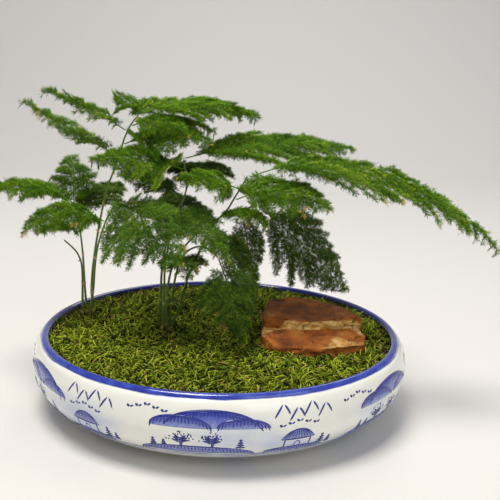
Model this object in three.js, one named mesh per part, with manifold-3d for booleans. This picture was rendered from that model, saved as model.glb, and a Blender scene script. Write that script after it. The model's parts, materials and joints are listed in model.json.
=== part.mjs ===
// An asparagus fern grown as a bonsai in a shallow porcelain bowl, with sheet moss and a slab of stone.
// Millimetres, +Z up. The origin is the centre of the bowl's foot, on the surface that it stands on.
// +X runs to the side where the longest frond reaches, and -Y to the front, where the stone's step shows.
import * as THREE from "three";
import { mergeVertices } from "three/addons/utils/BufferGeometryUtils.js";
import Module from "manifold-3d";

const wasm = await Module();
wasm.setup();

// ---------- driving dimensions ----------

const GAP = 0.3; // between pieces that touch
const ROUND_STEPS = 48; // facets round the bowl and what fills it
const SMALL_ROUND_STEPS = 12; // facets round a root crown, and round the hole over it in the moss
const TUBER_SIDES = 6;
const TUBER_START = 0.1; // shares of a tuber's length, from the middle of the knob
const TUBER_STATIONS = [0.15, 0.4, 0.7, 0.95];

const POT = {
  height: 56,
  footRadius: 104,
  footHeight: 3,
  footBevel: 2,
  bellyRadius: 139,
  bellyHeight: 35,
  bellyFullness: 1.25, // 1 is a true ellipse below the belly, and more is slimmer
  lipRadius: 133,
  wall: 6,
  floor: 8,
};

const SOIL = { belowLip: 12 };

const MOSS = {
  belowLip: 5, // of the mat's edge
  crown: 3, // how much higher the middle of the mat stands
  lipClearance: 0.8,
  seam: 1.6, // width of the bare line between two patches
};

const CLUMP = {
  knobRadius: 9,
  knobFootRadius: 5.5,
  knobHeight: 11,
  aboveSoil: 2,
  flatRadius: 7, // of the knob's top, where the canes stand
  footCircle: 4.4, // radius of the circle of cane feet
  mossClearance: 1.2,
  tubers: 6,
  firstTuber: 18, // heading in degrees
  tuberRadius: 2.4,
  tuberTipRadius: 0.8,
  tuberReach: 14,
  tuberDrop: 18,
};

const LEFT_CLUMP_FROM_LIP = 15; // from the lip's inner edge to the clump's middle
const LEFT_CLUMP_HEADING = 161; // degrees, anticlockwise from +X
const MIDDLE_CLUMP_FROM_LEFT = [64, -35.5]; // the two clumps' fronds pass between each other

const STONE = {
  fromLip: 18, // from the lip's inner edge to the stone's nearest corner
  heading: -12,
  cornerReach: 41, // from the stone's own middle to that corner
  step: 19, // height of the front step above the soil, where it meets the slab
  stepFront: 13, // and at its front edge
  top: 28, // height of the rear slab above the soil
  bevel: 2,
  mossClearance: 1,
};

const CANE = { radius: 1.2, upright: 7, sides: 6, steps: 14 }; // upright is the straight stretch at its foot

const FROND = {
  thickness: 1.8,
  stalk: 0.07, // share of the length that is bare stalk
  stalkHalfWidth: 0.9,
  edgeSag: 0.1, // how far the edges hang, as a share of the half breadth
  stationSpacing: 19,
  fewestStations: 4,
  firstStation: 0.02, // shares of the length where the blade's first and last sections stand
  lastStation: 0.97,
};

const COLOURS = {
  glaze: { color: 0xe6e8df, roughness: 0.15, metalness: 0 },
  soil: { color: 0x3a2a1c, roughness: 0.95, metalness: 0 },
  root: { color: 0xa98d62, roughness: 0.8, metalness: 0 },
  moss: { color: 0x6d9222, roughness: 0.9, metalness: 0 },
  stone: { color: 0xa85a20, roughness: 0.75, metalness: 0 },
  cane: { color: 0x587a35, roughness: 0.5, metalness: 0 },
  frond: { color: 0x3f7f22, roughness: 0.6, metalness: 0 },
};

// ---------- the plant's habit ----------

// Each cane is bare and wiry. foot is the heading of its foot on the crown, in degrees, and its bends are
// [x, y, height] from its clump's middle and the soil.
const CANES = [
  {
    name: "cane_left_tall", clump: "left", foot: 10,
    bends: [[3, 1, 28], [6, 1, 60], [16, -1, 109], [26, -3, 136], [32, -5, 155], [42, -7, 169]],
  },
  {
    name: "cane_left_outer", clump: "left", foot: 110,
    bends: [[-3, 6, 27], [-5, 9, 58], [-8, 8, 83], [-12, 3, 99]],
  },
  {
    name: "cane_left_front", clump: "left", foot: 300,
    bends: [[5, -5, 29], [9, -9, 63], [19, -19, 92], [27, -29, 104]],
  },
  {
    name: "cane_left_short", clump: "left", foot: 200,
    bends: [[-4, 0, 27], [-4, -4, 51], [-7, -10, 62], [-15, -18, 73]],
  },
  {
    name: "cane_middle_straight", clump: "middle", foot: 165,
    bends: [[-4, 2, 32], [-3, 4, 58], [4, 9, 92], [11, 13, 106], [14, 15, 115], [11, 19, 137]],
  },
  {
    name: "cane_middle_near", clump: "middle", foot: 235,
    bends: [[-1, -6, 34], [0, -11, 62], [4, -12, 88], [6, -14, 106]],
  },
  {
    name: "cane_middle_leaning", clump: "middle", foot: 20,
    bends: [[9, 4, 23], [18, 1, 55], [25, -1, 71], [34, -3, 91], [43, -5, 101], [51, -7, 115], [59, -7, 129]],
  },
  {
    name: "cane_middle_weeping", clump: "middle", foot: 305,
    bends: [[5, -8, 34], [9, -14, 59], [17, -23, 76], [29, -31, 81], [39, -38, 75]],
  },
  {
    name: "cane_middle_back", clump: "middle", foot: 92,
    bends: [[0, 9, 30], [4, 20, 54], [20, 33, 75], [43, 43, 90], [69, 49, 97]],
  },
];

// Each frond is one flat spray. It leaves its cane at a share of the cane's length, and its tip lies at
// reach [x, y, z] from there. arch lifts its middle, halves are its breadth to the left and to the right of
// its heading, and lie rolls its right side down, in degrees.
const FRONDS = {
  cane_left_tall: [
    { name: "frond_top_right", at: 1, reach: [88, 15, -3], arch: 8, halves: [31, 31], lie: 10 },
    { name: "frond_top_tuft", at: 0.985, reach: [-17, 8, 9], arch: 4, halves: [14, 14], lie: -20 },
    { name: "frond_top_middle", at: 0.955, reach: [14, 34, 12], arch: 4, halves: [12, 10], lie: 2 },
    { name: "frond_top_front", at: 0.93, reach: [42, -26, -4], arch: 6, halves: [21, 21], lie: 16 },
    { name: "frond_upper_left", at: 0.9, reach: [-57, -17, 28], arch: 3, halves: [9, 9], lie: -24 },
    { name: "frond_left_spear", at: 0.78, reach: [-74, 20, 36], arch: 0, halves: [10, 10], lie: -20 },
    { name: "frond_top_back", at: 0.95, reach: [58, 42, -10], arch: 5, halves: [13, 13], lie: 0 },
    { name: "frond_upper_middle", at: 0.84, reach: [64, -26, 4], arch: 7, halves: [30, 30], lie: 20 },
  ],
  cane_middle_straight: [
    { name: "frond_middle_left", at: 0.94, reach: [-64, -27, 8], arch: 4, halves: [33, 33], lie: -20 },
    { name: "frond_middle_right", at: 1, reach: [130, 34, 6], arch: 7, halves: [40, 40], lie: 12 },
    { name: "frond_inner_left", at: 0.79, reach: [-46, 20, 12], arch: 3, halves: [17, 17], lie: -14 },
    { name: "frond_back_middle", at: 0.84, reach: [14, 78, 2], arch: 9, halves: [30, 30], lie: 0 },
  ],
  cane_middle_leaning: [
    { name: "frond_long_right", at: 1, reach: [178, -21, -45], arch: 30, halves: [15, 52], lie: 8 },
    { name: "frond_under_right", at: 0.86, reach: [64, -38, 0], arch: 9, halves: [34, 34], lie: 16 },
    { name: "frond_under_left", at: 0.92, reach: [-42, -16, 8], arch: 3, halves: [22, 22], lie: -16 },
    { name: "frond_under_tip", at: 0.74, reach: [30, -40, 2], arch: 6, halves: [13, 13], lie: 0 },
    { name: "frond_inner_right", at: 0.62, reach: [34, -26, -26], arch: 6, halves: [21, 21], lie: 0 },
  ],
  cane_left_outer: [
    { name: "frond_far_left", at: 1, reach: [-62, -12, 8], arch: 8, halves: [26, 26], lie: -5 },
    { name: "frond_raised_left", at: 0.94, reach: [-8, 46, 32], arch: 3, halves: [21, 21], lie: 0 },
    { name: "frond_low_small", at: 0.72, reach: [-26, -22, 4], arch: 5, halves: [12, 12], lie: 0 },
    { name: "frond_back_left", at: 0.85, reach: [26, 62, 14], arch: 7, halves: [24, 24], lie: 0 },
  ],
  cane_left_front: [
    { name: "frond_low_left", at: 0.8, reach: [-54, -30, -4], arch: 10, halves: [26, 26], lie: -14 },
    { name: "frond_front_left", at: 1, reach: [50, -68, -28], arch: 8, halves: [26, 50], lie: 30 },
  ],
  cane_middle_near: [
    { name: "frond_front_middle", at: 1, reach: [38, -32, -30], arch: 5, halves: [20, 17], lie: 12 },
  ],
  cane_middle_weeping: [
    { name: "frond_weeping_front", at: 1, reach: [16, -24, -52], arch: 6, halves: [27, 27], lie: 0 },
    { name: "frond_inner_small", at: 0.6, reach: [8, -36, 0], arch: 7, halves: [17, 17], lie: 0 },
  ],
  cane_middle_back: [
    { name: "frond_weeping_right", at: 1, reach: [74, 14, -72], arch: 3, halves: [34, 34], lie: 62 },
    { name: "frond_weeping_inner", at: 0.9, reach: [10, -26, -60], arch: 8, halves: [16, 16], lie: 0 },
    { name: "frond_back_low", at: 0.6, reach: [-26, 66, 18], arch: 8, halves: [26, 26], lie: 0 },
  ],
};

// ---------- geometry helpers ----------

const radians = THREE.MathUtils.degToRad;

// A direction in plan, as [x, y], for a heading in degrees.
const heading = (degrees) => [Math.cos(radians(degrees)), Math.sin(radians(degrees))];

// A closed turned solid from [radius, height] points that run up its outside, from axis to axis.
function turned(profile, steps = ROUND_STEPS) {
  const points = profile.map(([radius, height]) => new THREE.Vector2(radius, height));
  return new THREE.LatheGeometry(points, steps).rotateX(Math.PI / 2);
}

// An upright prism over a plan outline of [x, y] points, between two heights.
function prism(outline, bottom, top, bevel = 0) {
  const shape = new THREE.Shape(outline.map(([x, y]) => new THREE.Vector2(x, y)));
  const options = {
    depth: top - bottom - 2 * bevel,
    bevelEnabled: bevel > 0,
    bevelThickness: bevel,
    bevelSize: bevel,
    bevelOffset: -bevel,
    bevelSegments: 1,
  };
  return new THREE.ExtrudeGeometry(shape, options).translate(0, 0, bottom + bevel);
}

// A closed skin over rings of equal length, each end drawn to a point.
function loft(start, rings, end) {
  const count = rings[0].length;
  const vertices = [start, ...rings.flat(), end];
  const last = vertices.length - 1;
  const index = [];
  for (let i = 0; i < count; i++) {
    const next = (i + 1) % count;
    index.push(0, 1 + next, 1 + i);
    for (let ring = 0; ring < rings.length - 1; ring++) {
      const low = 1 + ring * count;
      const high = low + count;
      index.push(low + i, low + next, high + next, low + i, high + next, high + i);
    }
    index.push(last, last - count + i, last - count + next);
  }
  const geometry = new THREE.BufferGeometry().setFromPoints(vertices);
  geometry.setIndex(index);
  return geometry;
}

// The corners of a regular polygon round a centre, in the plane of two unit vectors.
function ringAround(centre, across, over, radius, corners) {
  return Array.from({ length: corners }, (_, i) => {
    const turn = (i / corners) * 2 * Math.PI;
    const sideways = across.clone().multiplyScalar(radius * Math.cos(turn));
    return centre.clone().add(sideways).addScaledVector(over, radius * Math.sin(turn));
  });
}

// The solid of a closed geometry, for cutting and joining.
function solidOf(geometry) {
  const bare = geometry.clone();
  bare.deleteAttribute("normal");
  bare.deleteAttribute("uv");
  const merged = mergeVertices(bare, 1e-4);
  return new wasm.Manifold(
    new wasm.Mesh({
      numProp: 3,
      vertProperties: merged.attributes.position.array,
      triVerts: new Uint32Array(merged.index.array),
    }),
  );
}

// The geometry of a solid, for a mesh.
function geometryOf(solid) {
  const mesh = solid.getMesh();
  const geometry = new THREE.BufferGeometry();
  geometry.setAttribute("position", new THREE.BufferAttribute(mesh.vertProperties, 3));
  geometry.setIndex(new THREE.BufferAttribute(mesh.triVerts, 1));
  return geometry;
}

// ---------- the bowl and what fills it ----------

const lipInner = POT.lipRadius - POT.wall;
const soilTop = POT.height - SOIL.belowLip;

// Points up the bowl's side, moved in by inset, from its bottom height to the start of the lip.
function side(inset, bottom) {
  const belowSteps = 8;
  const aboveSteps = 4;
  const shoulderTop = POT.height - POT.wall / 2;
  const points = [];
  for (let i = 0; i <= belowSteps; i++) {
    const turn = (i / belowSteps) * (Math.PI / 2);
    const swell = (POT.bellyRadius - POT.footRadius) * Math.sin(turn) ** POT.bellyFullness;
    const rise = (POT.bellyHeight - bottom) * (1 - Math.cos(turn));
    points.push([POT.footRadius - inset + swell, bottom + rise]);
  }
  for (let i = 1; i <= aboveSteps; i++) {
    const turn = (i / aboveSteps) * (Math.PI / 2);
    const swell = (POT.bellyRadius - POT.lipRadius) * Math.cos(turn);
    const rise = (shoulderTop - POT.bellyHeight) * Math.sin(turn);
    points.push([POT.lipRadius - inset + swell, POT.bellyHeight + rise]);
  }
  return points;
}

// The bowl, turned in one from its foot over its lip to its floor.
function pot() {
  const lip = [];
  const lipSteps = 4;
  for (let i = 1; i < lipSteps; i++) {
    const turn = (i / lipSteps) * Math.PI;
    const half = POT.wall / 2;
    lip.push([POT.lipRadius - half + half * Math.cos(turn), POT.height - half + half * Math.sin(turn)]);
  }
  return turned([
    [0, 0],
    [POT.footRadius - POT.footBevel, 0],
    [POT.footRadius, POT.footBevel],
    ...side(0, POT.footHeight),
    ...lip,
    ...side(POT.wall, POT.floor).reverse(),
    [0, POT.floor],
  ]);
}

// The turned solid that fills the bowl from a floor height to a top, clear of the wall by a clearance.
function filling(bottom, edgeTop, middleTop, clearance) {
  const wallPoints = side(POT.wall + clearance, POT.floor + GAP);
  const radiusAt = (height) => {
    const above = wallPoints.findIndex((point) => point[1] >= height);
    if (above < 0) return wallPoints.at(-1)[0];
    const [r1, z1] = wallPoints[above];
    const [r0, z0] = wallPoints[Math.max(above - 1, 0)];
    return z1 === z0 ? r1 : r0 + ((r1 - r0) * (height - z0)) / (z1 - z0);
  };
  const topSteps = 5;
  const top = [];
  for (let i = 1; i <= topSteps; i++) {
    const share = i / topSteps;
    top.push([radiusAt(edgeTop) * (1 - share), edgeTop + (middleTop - edgeTop) * (1 - (1 - share) ** 2)]);
  }
  return turned([
    [0, bottom],
    [radiusAt(bottom), bottom],
    ...wallPoints.filter(([, height]) => height > bottom && height < edgeTop),
    [radiusAt(edgeTop), edgeTop],
    ...(middleTop === edgeTop ? [[0, edgeTop]] : top),
  ]);
}

// ---------- the clumps ----------

const leftDistance = lipInner - LEFT_CLUMP_FROM_LIP;
const leftClump = heading(LEFT_CLUMP_HEADING).map((part) => part * leftDistance);
const middleClump = leftClump.map((part, axis) => part + MIDDLE_CLUMP_FROM_LEFT[axis]);
const CLUMPS = {
  left: leftClump,
  middle: middleClump,
};
const knobTop = soilTop + CLUMP.aboveSoil;

// A root crown, knob and tubers in one, grown outwards by a clearance to cut its own pocket.
function crown([x, y], grow = 0) {
  const bottom = knobTop - CLUMP.knobHeight;
  const middle = (knobTop + bottom) / 2;
  const knob = turned(
    [
      [0, bottom - grow],
      [CLUMP.knobFootRadius, bottom - grow],
      [CLUMP.knobRadius + grow, middle],
      [CLUMP.flatRadius + grow, knobTop + grow],
      [0, knobTop + grow],
    ],
    SMALL_ROUND_STEPS,
  );
  let solid = solidOf(knob.translate(x, y, 0));
  for (let i = 0; i < CLUMP.tubers; i++) {
    const outwards = heading(CLUMP.firstTuber + (i / CLUMP.tubers) * 360);
    solid = solid.add(solidOf(tuber([x, y, middle], outwards, grow)));
  }
  return solid;
}

// One tuber, which leaves the middle of the knob level and turns down as it tapers.
function tuber([x, y, z], [dx, dy], grow) {
  const { tuberRadius, tuberTipRadius, tuberReach, tuberDrop } = CLUMP;
  const along = (share) => new THREE.Vector3(
    x + dx * tuberReach * share,
    y + dy * tuberReach * share,
    z - tuberDrop * share ** 2,
  );
  const ahead = (share) => new THREE.Vector3(
    dx * tuberReach,
    dy * tuberReach,
    -2 * tuberDrop * share,
  ).normalize();
  const across = new THREE.Vector3(-dy, dx, 0);
  const rings = TUBER_STATIONS.map((share) => {
    const radius = tuberRadius + (tuberTipRadius - tuberRadius) * share + grow;
    const over = ahead(share).cross(across);
    return ringAround(along(share), across, over, radius, TUBER_SIDES);
  });
  return loft(along(TUBER_START), rings, along(1).addScaledVector(ahead(1), grow));
}

// ---------- the stone ----------

const stoneDistance = lipInner - STONE.fromLip - STONE.cornerReach;
const STONE_MIDDLE = heading(STONE.heading).map((part) => part * stoneDistance);
// Plan outlines from the stone's middle, anticlockwise from the front left corner.
const STONE_FOOTPRINT = [
  [-38, -20], [-29, -34], [4, -37], [36, -27], [38, -12],
  [35, 8], [22, 26], [-10, 45], [-31, 37], [-36, 4],
];
const STONE_SLAB = [
  [-35, -5], [-6, -11], [20, -7], [37, -2], [34, 9],
  [21, 26], [-10, 44], [-30, 36], [-35, 6],
];

const placed = (outline) => outline.map(([x, y]) => [x + STONE_MIDDLE[0], y + STONE_MIDDLE[1]]);
const spread = (outline, by) => outline.map(([x, y]) => {
  const length = Math.hypot(x, y);
  return [x * (1 + by / length), y * (1 + by / length)];
});

// The stone, a low step that dips towards the front and a higher slab behind it in one.
function stone() {
  const seat = soilTop + GAP;
  const step = prism(placed(STONE_FOOTPRINT), seat, soilTop + STONE.step, STONE.bevel);
  const slab = prism(placed(STONE_SLAB), seat + STONE.bevel, soilTop + STONE.top, STONE.bevel);
  const foremost = (outline) => Math.min(...placed(outline).map(([, y]) => y));
  const [front, back] = [foremost(STONE_FOOTPRINT), foremost(STONE_SLAB)];
  const dip = (STONE.step - STONE.stepFront) / (back - front);
  const length = Math.hypot(1, dip);
  const offset = (dip * back - (soilTop + STONE.step)) / length;
  const dipped = solidOf(step).trimByPlane([0, dip / length, -1 / length], offset);
  return geometryOf(dipped.add(solidOf(slab)));
}

// ---------- the moss ----------

const beyond = 2 * POT.bellyRadius; // plan distance that is past the bowl whatever its size
const outside = (degrees) => heading(degrees).map((part) => part * beyond);
// The seams between patches run from the rim to the clumps and round the stone.
const SEAMS = {
  left: [outside(158), leftClump, [-74, 24], middleClump],
  frontLeft: [middleClump, [-50, -42], [-57, -92], outside(-121)],
  frontRight: [middleClump, [2, -32], [20, -66], [50, -104], outside(-62)],
  right: [STONE_MIDDLE, [STONE_MIDDLE[0] + 40, STONE_MIDDLE[1] + 34], outside(26)],
  back: [middleClump, [-22, 60], [-30, 100], outside(106)],
  inner: [middleClump, [10, -2], STONE_MIDDLE],
};
const reversed = (seam) => [...seam].reverse();

const PATCHES = {
  moss_front_left: [...SEAMS.left, ...SEAMS.frontLeft, outside(-165)],
  moss_front: [...SEAMS.frontRight, ...reversed(SEAMS.frontLeft)],
  moss_right: [...SEAMS.inner, ...SEAMS.right, outside(-20), ...reversed(SEAMS.frontRight)],
  moss_back_right: [...SEAMS.back, outside(66), ...reversed(SEAMS.right), ...reversed(SEAMS.inner)],
  moss_back_left: [...reversed(SEAMS.left), outside(130), ...reversed(SEAMS.back)],
};

// The bare line along one stretch of a seam, as a thin wall that stands through the mat.
function seamWall([x0, y0], [x1, y1], bottom, top) {
  const length = Math.hypot(x1 - x0, y1 - y0);
  const [sideX, sideY] = [(y0 - y1) / length, (x1 - x0) / length].map((part) => (part * MOSS.seam) / 2);
  const outline = [
    [x0 - sideX, y0 - sideY],
    [x1 - sideX, y1 - sideY],
    [x1 + sideX, y1 + sideY],
    [x0 + sideX, y0 + sideY],
  ];
  return solidOf(prism(outline, bottom, top));
}

// The mat of moss, parted along the seams and cut back round the stone and the root crowns.
function mossPatches() {
  const bottom = soilTop + GAP;
  const edge = POT.height - MOSS.belowLip;
  const above = POT.height + STONE.top;
  const below = bottom - GAP;
  let mat = solidOf(filling(bottom, edge, edge + MOSS.crown, MOSS.lipClearance));
  for (const seam of Object.values(SEAMS)) {
    seam.slice(1).forEach((end, i) => {
      mat = mat.subtract(seamWall(seam[i], end, below, above));
    });
  }
  mat = mat.subtract(solidOf(prism(placed(spread(STONE_FOOTPRINT, STONE.mossClearance)), below, above)));
  for (const [x, y] of Object.values(CLUMPS)) {
    const radius = CLUMP.knobRadius + CLUMP.mossClearance;
    const hole = turned([[0, below], [radius, below], [radius, above], [0, above]], SMALL_ROUND_STEPS);
    mat = mat.subtract(solidOf(hole.translate(x, y, 0)));
  }
  return Object.entries(PATCHES).map(([name, outline]) => {
    const region = solidOf(prism(outline, below, above));
    return [name, geometryOf(mat.intersect(region))];
  });
}

// ---------- canes and fronds ----------

// The middle line of a cane, from its foot on the crown to its tip.
function caneCurve({ clump, foot, bends }) {
  const [x, y] = CLUMPS[clump];
  const [footX, footY] = heading(foot).map((part) => part * CLUMP.footCircle);
  const points = [
    new THREE.Vector3(x + footX, y + footY, knobTop + GAP),
    new THREE.Vector3(x + footX, y + footY, knobTop + GAP + CANE.upright),
    ...bends.map(([dx, dy, height]) => new THREE.Vector3(x + dx, y + dy, soilTop + height)),
  ];
  return new THREE.CatmullRomCurve3(points);
}

// A wiry tube along a cane's middle line.
function cane(curve) {
  const [right, up] = [new THREE.Vector3(1, 0, 0), new THREE.Vector3(0, 1, 0)];
  const corners = ringAround(new THREE.Vector3(), right, up, CANE.radius, CANE.sides);
  const section = new THREE.Shape(corners.map(({ x, y }) => new THREE.Vector2(x, y)));
  return new THREE.ExtrudeGeometry(section, { steps: CANE.steps, extrudePath: curve });
}

// How far a frond reaches to one side at a share of its length: bare stalk, quick swell, long taper.
function halfWidth(share, half) {
  const leafy = Math.max((share - FROND.stalk) / (1 - FROND.stalk), 0);
  const peak = Math.sqrt(1 / 3) * (2 / 3); // the greatest value of the product below
  return Math.max((half * Math.sqrt(leafy) * (1 - leafy)) / peak, FROND.stalkHalfWidth);
}

// A thin curved plate with the outline of a spray, drawn to a point where it leaves its cane and at its tip.
function frond(curve, { at, reach, arch, halves, lie }) {
  const away = new THREE.Vector3(...reach);
  const outwards = away.clone().normalize();
  const start = curve.getPointAt(at).addScaledVector(outwards, CANE.radius + GAP + FROND.thickness / 2);
  const tip = start.clone().add(away);
  const middle = start.clone().add(tip).multiplyScalar(0.5).add(new THREE.Vector3(0, 0, 2 * arch));
  const spine = new THREE.QuadraticBezierCurve3(start, middle, tip);
  const stations = Math.max(Math.round(away.length() / FROND.stationSpacing), FROND.fewestStations);
  const rings = [];
  for (let i = 0; i < stations; i++) {
    const share = THREE.MathUtils.lerp(FROND.firstStation, FROND.lastStation, i / (stations - 1));
    const centre = spine.getPoint(share);
    const ahead = spine.getTangent(share);
    const across = new THREE.Vector3(ahead.y, -ahead.x, 0).normalize().applyAxisAngle(ahead, radians(lie));
    const over = new THREE.Vector3().crossVectors(across, ahead);
    const [left, right] = halves.map((half) => halfWidth(share, half));
    const corner = (side, face) => {
      const out = side * (side < 0 ? left : right);
      const lift = (face * FROND.thickness / 2) * (1 - side ** 2) - FROND.edgeSag * Math.abs(out * side);
      return centre.clone().addScaledVector(across, out).addScaledVector(over, lift);
    };
    rings.push([
      ...[-1, -0.5, 0, 0.5, 1].map((side) => corner(side, 1)),
      ...[0.5, 0, -0.5].map((side) => corner(side, -1)),
    ]);
  }
  return loft(start, rings, tip);
}

// ---------- the whole ----------

const group = new THREE.Group();

function place(name, geometry, colour) {
  const mesh = new THREE.Mesh(geometry, new THREE.MeshStandardMaterial(colour));
  mesh.name = name;
  group.add(mesh);
}

place("pot", pot(), COLOURS.glaze);

let soil = solidOf(filling(POT.floor + GAP, soilTop, soilTop, GAP));
for (const [clump, middle] of Object.entries(CLUMPS)) {
  soil = soil.subtract(crown(middle, GAP));
  place(`root_crown_${clump}`, geometryOf(crown(middle)), COLOURS.root);
}
place("soil", geometryOf(soil), COLOURS.soil);
place("stone", stone(), COLOURS.stone);
for (const [name, geometry] of mossPatches()) place(name, geometry, COLOURS.moss);

for (const entry of CANES) {
  const curve = caneCurve(entry);
  place(entry.name, cane(curve), COLOURS.cane);
  for (const spray of FRONDS[entry.name] ?? []) place(spray.name, frond(curve, spray), COLOURS.frond);
}

export default group;
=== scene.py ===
"""An asparagus fern grown as a bonsai in a shallow painted porcelain bowl, in its full visual detail.

Lengths are in millimetres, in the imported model's own frame, and turn to metres where a mesh is made. The
canes, the fronds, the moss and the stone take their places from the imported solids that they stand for.
"""

from __future__ import annotations

import json
import logging
import math
from dataclasses import dataclass, field
from enum import Enum
from typing import Any, ClassVar

import bpy
import numpy as np
from mathutils import Matrix, Vector, noise
from mathutils.bvhtree import BVHTree

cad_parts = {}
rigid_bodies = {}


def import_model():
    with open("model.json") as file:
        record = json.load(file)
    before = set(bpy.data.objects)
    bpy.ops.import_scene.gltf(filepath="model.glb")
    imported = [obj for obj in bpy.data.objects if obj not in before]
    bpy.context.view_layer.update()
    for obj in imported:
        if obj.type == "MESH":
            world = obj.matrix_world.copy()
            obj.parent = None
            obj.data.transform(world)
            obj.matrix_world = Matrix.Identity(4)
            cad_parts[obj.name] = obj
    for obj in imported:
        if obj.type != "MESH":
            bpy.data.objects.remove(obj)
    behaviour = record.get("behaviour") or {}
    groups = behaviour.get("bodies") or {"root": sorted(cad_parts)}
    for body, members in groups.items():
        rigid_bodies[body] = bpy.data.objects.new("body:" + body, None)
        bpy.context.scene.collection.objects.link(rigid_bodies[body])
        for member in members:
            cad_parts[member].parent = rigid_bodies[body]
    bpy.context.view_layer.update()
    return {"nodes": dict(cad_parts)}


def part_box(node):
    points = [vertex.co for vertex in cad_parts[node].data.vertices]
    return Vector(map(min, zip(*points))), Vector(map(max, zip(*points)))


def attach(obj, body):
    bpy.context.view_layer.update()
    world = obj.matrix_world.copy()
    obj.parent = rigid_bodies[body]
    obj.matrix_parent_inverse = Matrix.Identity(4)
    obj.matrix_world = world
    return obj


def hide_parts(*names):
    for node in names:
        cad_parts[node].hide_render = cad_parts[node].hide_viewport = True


LOG = logging.getLogger("potted_fern")
MM = 0.001
BAKE_MAP = "OFBake"
UP = np.array([0.0, 0.0, 1.0])
Array = np.ndarray
Rgba = tuple[float, float, float, float]
Points = list[tuple[float, float]]
Hill = tuple[float, float, float, float]
Tree = bpy.types.NodeTree
Socket = bpy.types.NodeSocket


# ---------- finishes ----------


def linear(colour: str) -> Rgba:
    """Turns an sRGB hex colour into a linear one.

    Args:
        colour: the hex colour, such as "#a85a20".

    Returns:
        Linear red, green, blue and alpha.
    """
    parts = [int(colour[i : i + 2], 16) / 255 for i in (1, 3, 5)]
    r, g, b = (c / 12.92 if c <= 0.04045 else ((c + 0.055) / 1.055) ** 2.4 for c in parts)
    return r, g, b, 1.0


def add_node(tree: Tree, kind: str, inputs: dict[Any, Any] | None = None, **settings: Any) -> bpy.types.Node:
    """Adds a node to a material.

    Args:
        tree: the material's node tree.
        kind: the node's type, such as "ShaderNodeTexNoise".
        inputs: for each input's name or number, a value to set or another node's output to link.
        settings: the node's own properties.

    Returns:
        The new node.
    """
    node = tree.nodes.new(kind)
    for name, value in settings.items():
        setattr(node, name, value)
    for key, value in (inputs or {}).items():
        if isinstance(value, Socket):
            tree.links.new(value, node.inputs[key])
        else:
            node.inputs[key].default_value = value
    return node


def ramp(tree: Tree, value: Socket, stops: dict[float, str]) -> Socket:
    """Colours a value by stops.

    Args:
        tree: the material's node tree.
        value: the output that picks the colour.
        stops: the sRGB hex colour at each place from 0 to 1.

    Returns:
        The colour output.
    """
    node = add_node(tree, "ShaderNodeValToRGB", {0: value})
    elements = node.color_ramp.elements
    for i, (place, colour) in enumerate(stops.items()):
        element = elements[i] if i < 2 else elements.new(place)
        element.position = place
        element.color = linear(colour)
    return node.outputs[0]


def noise_of(
    tree: Tree, size_mm: float, detail: float = 3.0, stretch: tuple[float, float, float] = (1, 1, 1)
) -> Socket:
    """A cloudy value from 0 to 1.

    Args:
        tree: the material's node tree.
        size_mm: how far across its lumps are.
        detail: how many finer layers of lumps lie over them.
        stretch: under 1 on an axis makes them longer along it, and over 1 shorter.

    Returns:
        The value's output.
    """
    place = add_node(tree, "ShaderNodeTexCoord").outputs["Object"]
    scale = [part / (size_mm * MM) for part in stretch]
    scaled = add_node(tree, "ShaderNodeMapping", {0: place, "Scale": scale}).outputs[0]
    inputs = {"Vector": scaled, "Scale": 1.0, "Detail": detail}
    return add_node(tree, "ShaderNodeTexNoise", inputs).outputs[0]


def mixed(tree: Tree, share: Socket, first: Any, second: Any) -> Socket:
    """Mixes two colours, each an output or a linear colour, by a share from 0 to 1."""
    node = add_node(tree, "ShaderNodeMix", {0: share, 6: first, 7: second}, data_type="RGBA")
    return node.outputs[2]


def between(tree: Tree, value: Socket, low: float, high: float) -> Socket:
    """Turns a value's stretch from low to high into a share from 0 to 1."""
    inputs = {"Value": value, "From Min": low, "From Max": high}
    return add_node(tree, "ShaderNodeMapRange", inputs, clamp=True).outputs[0]


@dataclass(frozen=True)
class Finish:
    """A real material and how light meets it. Each kind adds its colours and its relief."""

    name: str
    roughness: float
    ior: float = 1.5
    coat: float = 0.0
    specular: float = 0.5

    made: ClassVar[dict[str, bpy.types.Material]] = {}

    def material(self) -> bpy.types.Material:
        """Makes the material the first time, and gives the same one after that.

        Returns:
            The material.
        """
        if self.name not in self.made:
            material = bpy.data.materials.new(self.name)
            material.use_nodes = True
            tree = material.node_tree
            shader = tree.nodes["Principled BSDF"]
            shader.inputs["Roughness"].default_value = self.roughness
            shader.inputs["IOR"].default_value = self.ior
            shader.inputs["Coat Weight"].default_value = self.coat
            shader.inputs["Coat Roughness"].default_value = 0.04
            shader.inputs["Specular IOR Level"].default_value = self.specular
            self.dress(tree, shader)
            self.made[self.name] = material
        return self.made[self.name]

    def dress(self, tree: Tree, shader: bpy.types.Node) -> None:
        """Links the colours and the relief to the shader."""

    def relief(self, tree: Tree, shader: bpy.types.Node, height: Socket, depth_mm: float) -> None:
        """Raises the surface.

        Args:
            tree: the material's node tree.
            shader: the shader node that is given the raised normal.
            height: an output from 0 to 1.
            depth_mm: how far a height of 1 stands out.
        """
        inputs = {"Height": height, "Distance": depth_mm * MM, "Strength": 1.0}
        bump = add_node(tree, "ShaderNodeBump", inputs)
        tree.links.new(bump.outputs[0], shader.inputs["Normal"])


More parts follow.
